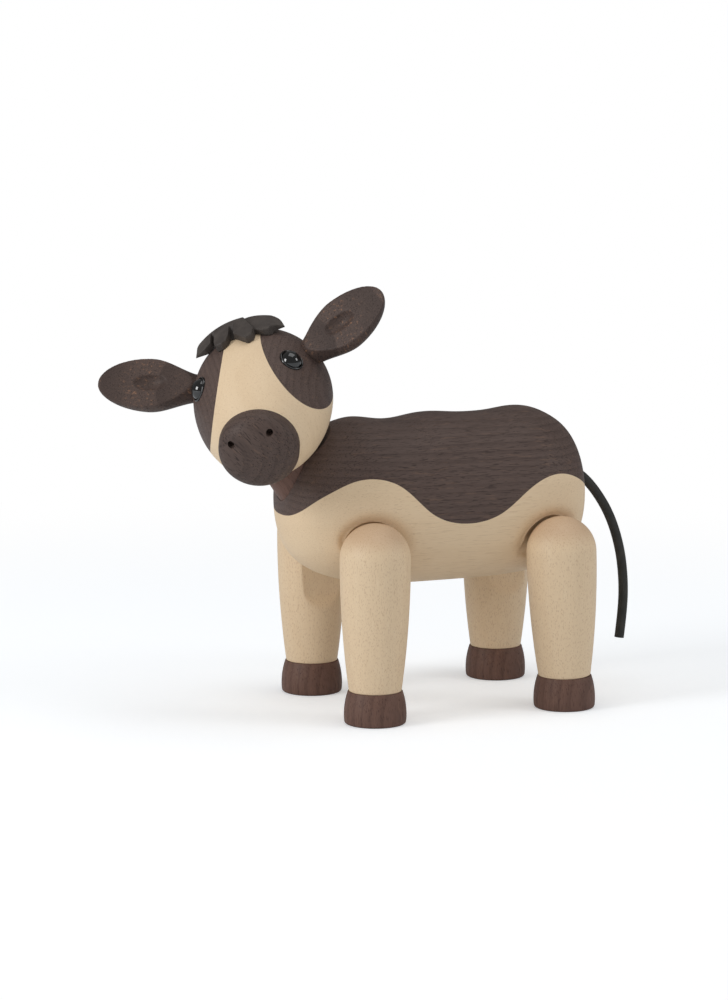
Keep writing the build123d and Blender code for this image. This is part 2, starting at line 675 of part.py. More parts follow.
# Tail cord: straight runs joined by tangent arcs as large as the runs allow
tail_runs = [after - before for before, after in zip(tail_points, tail_points[1:])]
tail_radii = [
    TAIL_CORNER_SHARE
    * min(run.length, next_run.length)
    / math.tan(math.radians(run.get_angle(next_run)) * HALF)
    for run, next_run in zip(tail_runs, tail_runs[1:])
]
with BuildPart() as tail:
    with BuildLine() as tail_line:
        FilletPolyline(*tail_points, radius=tail_radii)
    with BuildSketch(Plane(origin=tail_start, z_dir=tail_direction)):
        Circle(TAIL_DIAMETER * HALF)
    sweep(path=tail_line.wire())
pieces["tail"] = tail
tail_length = tail_line.wire().length
tail_section = math.pi * (TAIL_DIAMETER * HALF) ** 2
print("tail radii", [round(radius, 1) for radius in tail_radii])
print("tail length", round(tail_length, 2), "volume ratio", tail.part.volume / (tail_section * tail_length))

# Finished pieces: the origin goes to the middle of the floor under the figurine without its tail
boxes = [piece.part.bounding_box() for name, piece in pieces.items() if name != "tail"]
to_origin = Vector(
    -(min(box.min.X for box in boxes) + max(box.max.X for box in boxes)) * HALF,
    -(min(box.min.Y for box in boxes) + max(box.max.Y for box in boxes)) * HALF,
    -min(box.min.Z for box in boxes),
)

os.makedirs("parts", exist_ok=True)
for name, piece in pieces.items():
    placed = piece.part.moved(Location(to_origin))
    placed.label = name
    export_step(placed, f"parts/{name}.step")
print("moved by", to_origin)
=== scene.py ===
"""Cow figurine of turned maple and smoked oak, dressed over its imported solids.

Sizes and places are in millimetres in the figurine's own axes, which start on the floor in
the middle of the four hooves: X runs to the chest, Y to the cow's left and Z up. The mesh
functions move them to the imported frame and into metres.
"""

import logging
import math
from collections.abc import Iterator, Sequence
from contextlib import contextmanager
from dataclasses import dataclass, field, replace
from enum import Enum

import bmesh
import bpy
import numpy as np
from mathutils import Matrix, Vector


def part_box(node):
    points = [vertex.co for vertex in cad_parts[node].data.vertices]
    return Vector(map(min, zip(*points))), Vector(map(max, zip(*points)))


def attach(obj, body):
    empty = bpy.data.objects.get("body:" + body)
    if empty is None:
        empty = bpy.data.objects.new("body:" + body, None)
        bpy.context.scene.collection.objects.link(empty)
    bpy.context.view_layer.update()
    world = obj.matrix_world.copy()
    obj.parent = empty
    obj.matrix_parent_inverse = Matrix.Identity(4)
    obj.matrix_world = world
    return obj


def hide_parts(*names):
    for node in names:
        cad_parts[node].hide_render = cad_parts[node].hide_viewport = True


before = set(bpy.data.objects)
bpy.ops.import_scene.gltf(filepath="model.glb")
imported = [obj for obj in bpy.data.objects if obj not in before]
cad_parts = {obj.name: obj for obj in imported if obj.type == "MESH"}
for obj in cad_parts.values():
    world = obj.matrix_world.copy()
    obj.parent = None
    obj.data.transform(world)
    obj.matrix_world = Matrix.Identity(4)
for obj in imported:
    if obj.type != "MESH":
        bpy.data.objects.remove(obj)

MM = 0.001
MERGE_DISTANCE = 1e-7
PINHOLE_SIDES = 6
SMOOTH_ANGLE = math.radians(32)
LOG = logging.getLogger("cow")

Colour = tuple[float, float, float]
Triple = tuple[float, float, float]
Pair = tuple[float, float]
Line = tuple[Pair, ...]
Piece = bpy.types.Object
Socket = bpy.types.NodeSocket


# ---------------------------------------------------------------- directions and places


class Side(Enum):
    """The cow's two sides, as signs of Y."""

    LEFT = 1
    RIGHT = -1

    @property
    def word(self) -> str:
        """The side's word in the names of the pieces."""
        return self.name.lower()


class Corner(Enum):
    """The four legs, each with its sign along X and its side."""

    FRONT_LEFT = (1, Side.LEFT)
    FRONT_RIGHT = (1, Side.RIGHT)
    REAR_LEFT = (-1, Side.LEFT)
    REAR_RIGHT = (-1, Side.RIGHT)

    @property
    def word(self) -> str:
        """The corner's words in the names of the pieces."""
        return self.name.lower()


def unit(vector: Sequence[float]) -> np.ndarray:
    """Vector of the same direction and of length one."""
    vector = np.asarray(vector, float)
    return vector / np.linalg.norm(vector)


def leaning(degrees: float) -> np.ndarray:
    """Direction in the figurine's middle plane, leaning up from straight ahead."""
    angle = math.radians(degrees)
    return np.array((math.cos(angle), 0.0, math.sin(angle)))


def turned(vector: np.ndarray, axis: np.ndarray, degrees: float) -> np.ndarray:
    """Vector turned about an axis: its part along the axis stays and the rest swings round.

    Args:
        vector: The vector to turn.
        axis: Direction of the axis, of length one.
        degrees: How far it turns, by the right hand.

    Returns:
        The turned vector.
    """
    angle = math.radians(degrees)
    along = axis * float(vector @ axis)
    swung = (vector - along) * math.cos(angle) + np.cross(axis, vector) * math.sin(angle)
    return along + swung


@dataclass(frozen=True)
class Axes:
    """Origin and three square directions."""

    origin: np.ndarray
    x: np.ndarray
    y: np.ndarray
    z: np.ndarray

    def place(self, points: np.ndarray) -> np.ndarray:
        """Points given along the three directions, in the figurine's axes."""
        return self.origin + points @ np.stack((self.x, self.y, self.z))

    @classmethod
    def about(
        cls, origin: Sequence[float], axis: np.ndarray, hint: Sequence[float] = (0, 1, 0)
    ) -> "Axes":
        """Axes whose z is the given axis and whose x lies near the hint.

        Args:
            origin: Where the axes start.
            axis: Direction of z.
            hint: Direction that x keeps to as nearly as it can.

        Returns:
            The axes.
        """
        z = unit(axis)
        x = np.asarray(hint, float)
        x = unit(x - z * float(x @ z))
        return cls(np.asarray(origin, float), x, np.cross(z, x), z)


ALONG = np.array((1.0, 0.0, 0.0))
LEFTWARD = np.array((0.0, 1.0, 0.0))
UPWARD = np.array((0.0, 0.0, 1.0))


def hoof_middle() -> np.ndarray:
    """The figurine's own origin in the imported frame, from the four hooves' boxes."""
    boxes = [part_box(f"hoof_{corner.word}") for corner in Corner]
    middles = [(low + high) / 2 for low, high in boxes]
    middle = sum(middles, Vector()) / len(middles)
    return np.array((middle.x, middle.y, min(low.z for low, _ in boxes)))


ORIGIN = hoof_middle()


# ---------------------------------------------------------------- surfaces and meshes


def end_share(along: np.ndarray, fullness: float) -> np.ndarray:
    """Size that a rounded end keeps: the fullness root of one minus the place to the fullness."""
    return np.clip(1 - np.abs(along) ** fullness, 0, 1) ** (1 / fullness)


def smooth_line(points: np.ndarray, count: int = 60) -> np.ndarray:
    """One smooth cubic curve through points, with free ends.

    The bends at the points solve the even-slope equations between neighbouring spans.

    Args:
        points: Points in the plane.
        count: Points of each span.

    Returns:
        Points along the curve.
    """
    step = np.linalg.norm(np.diff(points, axis=0), axis=1)
    rule, load = np.eye(len(points)), np.zeros((len(points), 2))
    inner = np.arange(1, len(points) - 1)
    rule[inner, inner - 1], rule[inner, inner + 1] = step[:-1], step[1:]
    rule[inner, inner] = 2 * (step[:-1] + step[1:])
    load[1:-1] = 6 * np.diff(np.diff(points, axis=0) / step[:, None], axis=0)
    bend = np.linalg.solve(rule, load)
    share = np.linspace(0, 1, count)[None, :, None]
    straight = points[:-1, None] * (1 - share) + points[1:, None] * share
    bow = bend[:-1, None] * (2 - share) + bend[1:, None] * (1 + share)
    return (straight - step[:, None, None] ** 2 / 6 * share * (1 - share) * bow).reshape(-1, 2)


def swell_radius(drop: float, run: float) -> float:
    """Radius of the arc that leaves a straight line and drops so far over a run."""
    return (drop**2 + run**2) / (2 * drop)


def swell(radius: float, end_radius: float, run: float, count: int) -> np.ndarray:
    """Side of a turned form: one arc that starts parallel to the axis and narrows.

    At a place t the radius is the first radius less R, plus the root of R squared less
    t squared, where R is the arc's own radius.

    Args:
        radius: Radius at the start.
        end_radius: Radius at the end.
        run: Length along the axis.
        count: Number of points.

    Returns:
        Pairs of radius and place along the axis.
    """
    arc = swell_radius(radius - end_radius, run)
    place = np.linspace(0, run, count)
    return np.stack((radius - arc + np.sqrt(arc**2 - place**2), place), axis=1)


def quarter(radius: float, height: float, count: int) -> np.ndarray:
    """Quarter of an ellipse from its pole to its rim, as pairs of radius and height."""
    angle = np.linspace(0, math.pi / 2, count)
    return np.stack((radius * np.sin(angle), height * np.cos(angle)), axis=1)


def eased(corners: Sequence[tuple[float, float, float]], count: int = 5) -> np.ndarray:
    """Line through corners, each replaced by the arc that touches both of its sides.

    Args:
        corners: Radius, height and easing radius of each corner.
        count: Points of each arc.

    Returns:
        Pairs of radius and height.
    """
    places = np.array([corner[:2] for corner in corners], float)
    line = [places[:1]]
    for index, corner in enumerate(corners[1:-1], start=1):
        back, ahead = unit(places[index - 1] - places[index]), unit(places[index + 1] - places[index])
        half_angle = math.acos(float(np.clip(back @ ahead, -1, 1))) / 2
        if corner[2] == 0:
            line.append(places[index : index + 1])
            continue
        middle = places[index] + unit(back + ahead) * corner[2] / math.sin(half_angle)
        first = places[index] + back * corner[2] / math.tan(half_angle) - middle
        last = places[index] + ahead * corner[2] / math.tan(half_angle) - middle
        share = np.linspace(0, 1, count)[:, None]
        arc = first * (1 - share) + last * share
        line.append(middle + corner[2] * arc / np.linalg.norm(arc, axis=1, keepdims=True))
    line.append(places[-1:])
    return np.concatenate(line)


def lathe(profile: np.ndarray, axes: Axes, count: int = 128) -> np.ndarray:
    """Surface of revolution: each profile point goes round the axis at its own radius and height.

    Args:
        profile: Pairs of radius and height along the axis, from pole to pole.
        axes: Axes whose z is the turning axis.
        count: Points round the axis.

    Returns:
        Lattice of points, profile points by turns.
    """
    angle = np.linspace(0, 2 * math.pi, count, endpoint=False)
    radius, height = profile[:, :1], profile[:, 1:]
    ring = np.stack(
        (radius * np.cos(angle), radius * np.sin(angle), np.broadcast_to(height, (len(profile), count))),
        axis=-1,
    )
    return axes.place(ring)


def lattice_faces(rows: int, columns: int, closed_rows: bool) -> np.ndarray:
    """Four-cornered faces between a lattice's points, closed round its columns.

    Args:
        rows: Number of rows.
        columns: Number of columns.
        closed_rows: Whether the last row also joins the first.

    Returns:
        The corner numbers of each face.
    """
    row, column = np.meshgrid(
        np.arange(rows if closed_rows else rows - 1), np.arange(columns), indexing="ij"
    )
    row_after, column_after = (row + 1) % rows, (column + 1) % columns
    corners = (
        row * columns + column,
        row * columns + column_after,
        row_after * columns + column_after,
        row_after * columns + column,
    )
    return np.stack(corners, axis=-1).reshape(-1, 4)


def make_piece(name: str, surface: np.ndarray, closed_rows: bool = False) -> Piece:
    """Mesh object from a lattice of points, with its seams and poles merged and faces outward.

    Args:
        name: The piece's name.
        surface: Lattice of points in the figurine's axes.
        closed_rows: Whether the last row also joins the first.

    Returns:
        The object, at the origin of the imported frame.
    """
    rows, columns = surface.shape[:2]
    mesh = bpy.data.meshes.new(name)
    points = surface.reshape(-1, 3) * MM + ORIGIN
    mesh.from_pydata(points.tolist(), [], lattice_faces(rows, columns, closed_rows).tolist())
    piece = bpy.data.objects.new(name, mesh)
    bpy.context.scene.collection.objects.link(piece)
    merge_doubles(piece)
    return piece


@contextmanager
def mesh_work(piece: Piece) -> Iterator[bmesh.types.BMesh]:
    """Opens a piece's mesh for changes, then writes it back with its faces outward."""
    work = bmesh.new()
    work.from_mesh(piece.data)
    yield work
    bmesh.ops.recalc_face_normals(work, faces=work.faces)
    work.to_mesh(piece.data)
    work.free()


def merge_doubles(piece: Piece) -> None:
    """Merges a piece's doubled points, drops what has no area and closes pinholes."""
    with mesh_work(piece) as work:
        bmesh.ops.remove_doubles(work, verts=work.verts, dist=MERGE_DISTANCE)
        bmesh.ops.dissolve_degenerate(work, edges=work.edges, dist=MERGE_DISTANCE)
        rim = [edge for edge in work.edges if edge.is_boundary]
        bmesh.ops.holes_fill(work, edges=rim, sides=PINHOLE_SIDES)
        loose = [vertex for vertex in work.verts if not vertex.link_faces]
        bmesh.ops.delete(work, geom=loose, context="VERTS")


def slice_off(piece: Piece, point: np.ndarray, normal: np.ndarray) -> None:
    """Cuts a piece along a plane, drops the side the normal points to and caps the cut.

    Args:
        piece: The piece to cut.
        point: A point of the plane, in the figurine's axes.
        normal: The plane's normal.
    """
    with mesh_work(piece) as work:
        cut = bmesh.ops.bisect_plane(
            work,
            geom=[*work.verts, *work.edges, *work.faces],
            plane_co=Vector(point * MM + ORIGIN),
            plane_no=Vector(normal),
            clear_outer=True,
        )
        rim = [edge for edge in cut["geom_cut"] if isinstance(edge, bmesh.types.BMEdge)]
        bmesh.ops.edgenet_fill(work, edges=rim)


def carve(piece: Piece, *cutters: Piece) -> None:
    """Settles a piece's modifiers, takes each cutter's volume out and removes the cutters."""
    for cutter in cutters:
        cut = piece.modifiers.new("cut", "BOOLEAN")
        cut.object = cutter
        cut.operation = "DIFFERENCE"
        cut.solver = "EXACT"
    bpy.context.view_layer.update()
    shaped = piece.evaluated_get(bpy.context.evaluated_depsgraph_get())
    plain = piece.data
    mesh = bpy.data.meshes.new_from_object(shaped)
    piece.modifiers.clear()
    piece.data = mesh
    mesh.name = piece.name
    bpy.data.meshes.remove(plain)
    for cutter in cutters:
        worn = cutter.data
        bpy.data.objects.remove(cutter)
        bpy.data.meshes.remove(worn)


def shade(piece: Piece) -> None:
    """Smooth shading that keeps the edges between a piece's separate faces sharp."""
    piece.data.shade_smooth()
    piece.data.set_sharp_from_angle(angle=SMOOTH_ANGLE)


def soften(piece: Piece, grid: float, rounds: int) -> None:
    """Rounds a piece's edges as sanding does: an even fine mesh, smoothed a little.

    Args:
        piece: The piece.
        grid: The mesh's step in millimetres.
        rounds: How often each point moves halfway to its neighbours' mean.
    """
    even = piece.modifiers.new("even", "REMESH")
    even.mode = "VOXEL"
    even.voxel_size = grid * MM
    sanded = piece.modifiers.new("sanded", "SMOOTH")
    sanded.factor, sanded.iterations = 0.5, rounds
    carve(piece)


def drill(start: np.ndarray, axis: np.ndarray, radius: float, length: float) -> Piece:
    """Cutter for a round bore.

    Args:
        start: Where the bore starts, in the figurine's axes.
        axis: The bore's direction.
        radius: The bore's radius.
        length: The bore's length.

    Returns:
        A closed cylinder.
    """
    profile = np.array(((0.0, 0.0), (radius, 0.0), (radius, length), (0.0, length)))
    return make_piece("drill", lathe(profile, Axes.about(start, axis, axis[[1, 2, 0]] + 0.1)))


# ---------------------------------------------------------------- finishes


def srgb(red: float, green: float, blue: float) -> Colour:
    """Linear colour of a colour given on the screen's scale of 0 to 255."""

    def linear(value: float) -> float:
        """One channel on the linear scale."""
        share = value / 255
        return share / 12.92 if share <= 0.04045 else ((share + 0.055) / 1.055) ** 2.4

    return linear(red), linear(green), linear(blue)


class Graph:
    """Adds and joins the nodes of a material or of the room."""

    def __init__(
        self, owner: bpy.types.Material | bpy.types.World, first: str = "Principled BSDF"
    ) -> None:
        """Starts with the nodes that a new owner has.

        Args:
            owner: The material, or the world that stands for the room.
            first: Name of the shader that it has from the start.
        """
        owner.use_nodes = True
        self.owner = owner
        self.tree = owner.node_tree
        self.shader = self.tree.nodes[first]

    def join(self, socket: Socket, value: object) -> None:
        """Joins an output to a socket, or sets the socket to a plain value."""
        if isinstance(value, Socket):
            self.tree.links.new(value, socket)
        else:
            socket.default_value = value

    def join_all(self, node: bpy.types.Node, **values: object) -> None:
        """Joins outputs or sets values on the sockets of these names."""
        for name, value in values.items():
            self.join(node.inputs[name], value)

    def node(self, kind: str, **settings: object) -> bpy.types.Node:
        """New node of a kind with the given properties."""
        made = self.tree.nodes.new(kind)
        for name, value in settings.items():
            setattr(made, name, value)
        return made

    def sum(self, operation: str, *values: object) -> Socket:
        """Result of one arithmetic step.

        Args:
            operation: Name of the Math node's operation.
            values: Its values or outputs, one to three.

        Returns:
            The step's output.
        """
        step = self.node("ShaderNodeMath", operation=operation)
        for socket, value in zip(step.inputs, values):
            self.join(socket, value)
        return step.outputs[0]

    def noise(self, place: Socket, scale: float, detail: float = 2.0, rough: float = 0.5) -> Socket:
        """Soft noise between 0 and 1.

        Args:
            place: Where it is read.
            scale: Lumps for each unit of the place.
            detail: How many finer layers it has.
            rough: How strong the finer layers are.

        Returns:
            The noise's output.
        """
        made = self.node("ShaderNodeTexNoise")
        self.join_all(made, Vector=place, Scale=scale, Detail=detail, Roughness=rough)
        return made.outputs["Fac"]

    def stretch(self, place: Socket, across: float, along: float) -> Socket:
        """Place with its first two parts times one factor and its third times another."""
        made = self.node("ShaderNodeVectorMath", operation="MULTIPLY")
        self.join(made.inputs[0], place)
        self.join(made.inputs[1], (across, across, along))
        return made.outputs[0]

    def band(
        self, value: Socket, low: float, high: float, start: float = 0.0, end: float = 1.0
    ) -> Socket:
        """Value eased from start to end as it goes from low to high.

        Args:
            value: The value.
            low: Where the change starts.
            high: Where it ends.
            start: Result up to low.
            end: Result from high on.

        Returns:
            The result's output.
        """
        made = self.node("ShaderNodeMapRange", interpolation_type="SMOOTHSTEP")
        for socket, given in zip(made.inputs, (value, low, high, start, end)):
            self.join(socket, given)
        return made.outputs[0]

    def blend(self, share: Socket, first: object, second: object) -> Socket:
        """Colour between two colours.

        Args:
            share: Share of the second colour.
            first: First colour or output.
            second: Second colour or output.

        Returns:
            The colour's output.
        """
        made = self.node("ShaderNodeMix", data_type="RGBA")
        self.join(made.inputs[0], share)
        for socket, value in zip((made.inputs[6], made.inputs[7]), (first, second)):
            self.join(socket, (*value, 1.0) if isinstance(value, tuple) else value)
        return made.outputs[2]

    def object_place(self) -> Socket:
        """Place on the piece in Object coordinates."""
        return self.node("ShaderNodeTexCoord").outputs["Object"]

    def bump(self, height: Socket, depth: float, strength: float) -> None:
        """Relief on the shader's normal.

        Args:
            height: Height between 0 and 1.
            depth: Depth in millimetres that a height of one has.
            strength: How much of it shows.
        """
        made = self.node("ShaderNodeBump")
        self.join_all(made, Height=height, Distance=depth * MM, Strength=strength)
        self.join(self.shader.inputs["Normal"], made.outputs["Normal"])

    def seen(self) -> Socket:
        """Whether the camera looks here, straight or through something clear."""
        path = self.node("ShaderNodeLightPath").outputs
        return self.sum("MAXIMUM", path["Is Camera Ray"], path["Is Transmission Ray"])

    def mixed(self, share: Socket, first: Socket, second: Socket) -> Socket:
        """Shader between two shaders, by the share of the second."""
        made = self.node("ShaderNodeMixShader")
        for socket, value in zip(made.inputs, (share, first, second)):
            self.join(socket, value)
        return made.outputs[0]

    def glow(self, strength: float) -> Socket:
        """Shader that shines evenly by itself."""
        made = self.node("ShaderNodeEmission")
        self.join(made.inputs["Strength"], strength)
        return made.outputs[0]


@dataclass(frozen=True)
class Grain:
    """How a piece lies in its board.

    It has a point of the tree's middle line, the line's direction, and the places along
    the line between which the surface darkens: end grain, with painted shade on the legs.
    """

    pith: Triple
    direction: Triple
    ends: Pair = (0.0, 1.0)

    def place(self, graph: Graph) -> Socket:
        """Place in millimetres in the board's axes, with the third part along the grain.

        Args:
            graph: The material's nodes.

        Returns:
            The place's output.
        """
        axes = Axes.about(self.pith, np.asarray(self.direction, float), (0.31, 0.87, 0.38))
        turn = Matrix(np.stack((axes.x, axes.y, axes.z), axis=1).tolist()).to_euler()
        made = graph.node("ShaderNodeMapping", vector_type="TEXTURE")
        settings = (graph.object_place(), tuple(axes.origin * MM + ORIGIN), tuple(turn), (MM, MM, MM))
        for socket, value in zip(made.inputs, settings):
            graph.join(socket, value)
        return made.outputs[0]


@dataclass(frozen=True)
class Lumps:
    """Noise drawn out along the grain: its pull, its lumps in a millimetre and its fineness."""

    pull: float
    scale: float
    detail: float
    rough: float = 0.5

    def read(self, graph: Graph, place: Socket) -> Socket:
        """The noise at a place in the board's axes."""
        return graph.noise(graph.stretch(place, 1.0, self.pull), self.scale, self.detail, self.rough)


FIBRE = Lumps(0.06, 2.6, 4.0, 0.6)
TONE = Lumps(0.3, 0.07, 2.0)
FLECKS = Lumps(0.12, 1.1, 3.0, 0.65)
RING_DRIFT = Lumps(0.25, 0.05, 2.0)
COLOUR_LIMITS = (-0.2, 1.0)
FLECK_LIMITS = (0.56, 0.7)
RING_RISE = (0.25, 0.93)
RING_FALL = (0.95, 1.0)
PORE_EASE = 0.1
ROUGH_LIMITS = (0.3, 1.5)
ROUGH_SPREAD = (-0.05, 0.12)
FIBRE_HEIGHT = 0.35
WOOD_RELIEF_SHARE = 0.5


@dataclass(frozen=True)
class Wood:
    """Oiled wood seen as the solid it is: growth rings, fibres, pores, flecks and broad tone."""

    slot: str
    early: Colour
    late: Colour
    pore: Colour
    ring_gap: float
    ring_wobble: float
    ring_share: float
    fibre_share: float
    tone_share: float
    pore_share: float
    pore_across: float
    pore_along: float
    pore_limit: float
    fleck: Colour
    fleck_share: float
    roughness: float
    gloss: float
    relief: float
    ring_flecks: float = 0.0
    # Darkening towards the top along the grain: end grain, and partly painted shade.
    end_share: float = 0.0

    def material(self, name: str, grain: Grain) -> bpy.types.Material:
        """The finish on one piece.

        The ring's distance is the distance from the tree's middle line with slow noise
        added. Its remainder by the ring gap rises slowly over the early wood and falls at
        the late wood's line.

        Args:
            name: The material's name.
            grain: How the piece lies in its board.

        Returns:
            The material.
        """
        graph = Graph(bpy.data.materials.new(name))
        place = grain.place(graph)
        rings, pores = self.rings(graph, place), self.pores(graph, place)
        fibre, tone = FIBRE.read(graph, place), TONE.read(graph, place)
        share = graph.sum("MULTIPLY", rings, self.ring_share)
        for noise, weight in ((fibre, self.fibre_share), (tone, self.tone_share)):
            share = graph.sum("MULTIPLY_ADD", graph.sum("SUBTRACT", noise, 0.5), weight, share)
        colour = graph.blend(graph.band(share, *COLOUR_LIMITS), self.early, self.late)
        flecks = graph.band(FLECKS.read(graph, place), *FLECK_LIMITS)
        strength = graph.sum("MULTIPLY_ADD", rings, -self.ring_flecks, self.fleck_share)
        flecks = graph.sum("MAXIMUM", graph.sum("MULTIPLY", flecks, strength), 0.0)
        colour = graph.blend(flecks, colour, self.fleck)
        colour = graph.blend(graph.sum("MULTIPLY", pores, self.pore_share), colour, self.pore)
        # Darker towards the top along the grain: end grain on the leg domes, and also painted shade
        # where they sit under the body.
        if self.end_share:
            parts = graph.node("ShaderNodeSeparateXYZ")
            graph.join(parts.inputs[0], place)
            ends = graph.band(parts.outputs["Z"], *grain.ends, 0.0, self.end_share)
            colour = graph.blend(ends, colour, self.pore)
        smoothest, roughest = (self.roughness + spread for spread in ROUGH_SPREAD)
        rough = graph.band(graph.sum("ADD", pores, fibre), *ROUGH_LIMITS, smoothest, roughest)
        graph.join(graph.shader.inputs["Base Color"], colour)
        graph.join(graph.shader.inputs["Roughness"], rough)
        graph.join(graph.shader.inputs["Specular IOR Level"], self.gloss)
        height = graph.sum("MULTIPLY_ADD", pores, -1.0, graph.sum("MULTIPLY", fibre, FIBRE_HEIGHT))
        graph.bump(height, self.relief, WOOD_RELIEF_SHARE)
        return graph.owner

    def rings(self, graph: Graph, place: Socket) -> Socket:
        """Late wood's share of the growth rings.

        Args:
            graph: The material's nodes.
            place: Place in the board's axes.

        Returns:
            The share's output.
        """
        flat = graph.node("ShaderNodeVectorMath", operation="LENGTH")
        graph.join(flat.inputs[0], graph.stretch(place, 1.0, 0.0))
        drift = RING_DRIFT.read(graph, place)
        distance = graph.sum("MULTIPLY_ADD", drift, self.ring_wobble, flat.outputs["Value"])
        phase = graph.sum("FRACT", graph.sum("DIVIDE", distance, self.ring_gap))
        rise, fall = graph.band(phase, *RING_RISE), graph.band(phase, *RING_FALL, 1.0, 0.0)
        return graph.sum("MULTIPLY", rise, fall)

    def pores(self, graph: Graph, place: Socket) -> Socket:
        """Share of the pores: long narrow lumps of noise above a limit.

        Args:
            graph: The material's nodes.
            place: Place in the board's axes.

        Returns:
            The share's output.
        """
        lumps = graph.noise(graph.stretch(place, 1 / self.pore_across, 1 / self.pore_along), 1.0, 1.0)
        return graph.band(lumps, self.pore_limit, self.pore_limit + PORE_EASE)

    def dress(self, piece: Piece, body: str, node: str, name: str, grain: Grain) -> None:
        """Gives a piece this wood, its body and the solid that it stands for.

        Args:
            piece: The piece.
            body: The body it moves with.
            node: The solid that it replaces.
            name: The material's name.
            grain: How the piece lies in its board.
        """
        dress(piece, body, node, self.material(name, grain))


MAPLE = Wood(
    slot="maple", early=srgb(231, 206, 172), late=srgb(213, 184, 148), pore=srgb(176, 142, 106),
    ring_gap=9.5, ring_wobble=1.4, ring_share=0.12, fibre_share=0.75, tone_share=0.45,
    pore_share=0.26, pore_across=0.34, pore_along=1.1, pore_limit=0.6,
    fleck=srgb(238, 217, 186), fleck_share=0.3, roughness=0.52, gloss=0.3, relief=0.01,
)
SMOKED_OAK = Wood(
    slot="smoked_oak", early=srgb(96, 80, 74), late=srgb(73, 59, 54), pore=srgb(48, 39, 36),
    ring_gap=2.1, ring_wobble=3.0, ring_share=0.35, fibre_share=1.0, tone_share=0.7,
    pore_share=0.6, pore_across=0.24, pore_along=3.6, pore_limit=0.57,
    fleck=srgb(122, 97, 82), fleck_share=0.45, roughness=0.55, gloss=0.22, relief=0.025,
)
FACE_OAK = replace(
    SMOKED_OAK, early=srgb(90, 75, 69), late=srgb(66, 54, 50), pore_across=0.3, pore_share=0.75
)
EAR_OAK = replace(
    FACE_OAK, ring_gap=17.0, ring_wobble=5.0, ring_share=0.5, fleck=srgb(140, 106, 84), fleck_share=0.95,
    ring_flecks=1.1, pore_along=1.2, pore_share=0.7,
)
BELLY_MAPLE = replace(MAPLE, pore_across=0.22, pore_along=5.5, pore_share=0.34)
# Leg maple darkens at its domed tops: end grain, and partly painted shade under the body.
LEG_MAPLE = replace(
    MAPLE, pore=srgb(176, 134, 103), pore_across=0.3, pore_along=0.8, pore_share=0.32,
    pore_limit=0.57, end_share=0.42,
)
WALNUT = Wood(
    slot="walnut", early=srgb(112, 84, 73), late=srgb(88, 65, 57), pore=srgb(56, 41, 37),
    ring_gap=2.6, ring_wobble=3.0, ring_share=0.4, fibre_share=0.9, tone_share=0.5,
    pore_share=0.5, pore_across=0.24, pore_along=2.4, pore_limit=0.58,
    fleck=srgb(134, 102, 86), fleck_share=0.35, roughness=0.55, gloss=0.25, relief=0.02,
)
BEECH = Wood(
    slot="beech", early=srgb(214, 182, 146), late=srgb(190, 152, 116), pore=srgb(150, 112, 82),
    ring_gap=2.4, ring_wobble=1.0, ring_share=0.5, fibre_share=0.5, tone_share=0.3,
    pore_share=0.5, pore_across=0.3, pore_along=1.2, pore_limit=0.62,
    fleck=srgb(200, 158, 120), fleck_share=0.3, roughness=0.6, gloss=0.3, relief=0.01,
)


@dataclass(frozen=True)
class Leather:
    """Dyed leather with a fine pebble and soft scuffs."""

    slot: str
    colour: Colour
    scuff: Colour
    pebble: float
    roughness: float
    relief: float
    relief_share: float = 0.6
    gloss: float = 0.4
    scuff_size: float = 4.0
    scuff_limits: Pair = (0.35, 0.75)
    fine_size: float = 0.6

    def material(self, name: str) -> bpy.types.Material:
        """The finish on one piece.

        Args:
            name: The material's name.

        Returns:
            The material.
        """
        graph = Graph(bpy.data.materials.new(name))
        place = graph.object_place()
        cells = graph.node("ShaderNodeTexVoronoi", feature="SMOOTH_F1")
        graph.join_all(cells, Vector=place, Scale=1 / (self.pebble * MM))
        worn = graph.noise(place, 1 / (self.scuff_size * MM), 4.0, 0.6)
        colour = graph.blend(graph.band(worn, *self.scuff_limits), self.colour, self.scuff)
        rough = graph.band(worn, 0.3, 0.7, self.roughness - 0.06, self.roughness + 0.08)
        graph.join(graph.shader.inputs["Base Color"], colour)
        graph.join(graph.shader.inputs["Roughness"], rough)
        graph.join(graph.shader.inputs["Specular IOR Level"], self.gloss)
        fine = graph.noise(place, 1 / (self.fine_size * MM), 3.0)
        height = graph.sum("ADD", cells.outputs["Distance"], fine)
        graph.bump(height, self.relief, self.relief_share)
        return graph.owner


STRAP = Leather("strap_leather", srgb(66, 59, 55), srgb(80, 73, 68), 0.5, 0.6, 0.02)
CORD = Leather("cord_leather", srgb(46, 45, 42), srgb(62, 60, 56), 0.35, 0.62, 0.02)


@dataclass(frozen=True)
class Glass:
    """Black glass, polished, with the faint waviness of hand work."""

    slot: str
    colour: Colour
    roughness: float
    gloss: float = 1.0
    mist_size: float = 2.0
    mist_light: float = 1.6
    mist_rough: float = 0.04

    def material(self, name: str) -> bpy.types.Material:
        """The finish on one piece.

        Args:
            name: The material's name.

        Returns:
            The material.
        """
        graph = Graph(bpy.data.materials.new(name))
        mist = graph.noise(graph.object_place(), 1 / (self.mist_size * MM), 2.0)
        misted = tuple(self.mist_light * channel for channel in self.colour)
        rough = graph.band(mist, 0.2, 0.8, self.roughness, self.roughness + self.mist_rough)
        graph.join(graph.shader.inputs["Base Color"], graph.blend(mist, self.colour, misted))
        graph.join(graph.shader.inputs["Roughness"], rough)
        graph.join(graph.shader.inputs["Specular IOR Level"], self.gloss)
        return graph.owner


EYE_GLASS = Glass("eye_glass", srgb(11, 11, 11), 0.04)


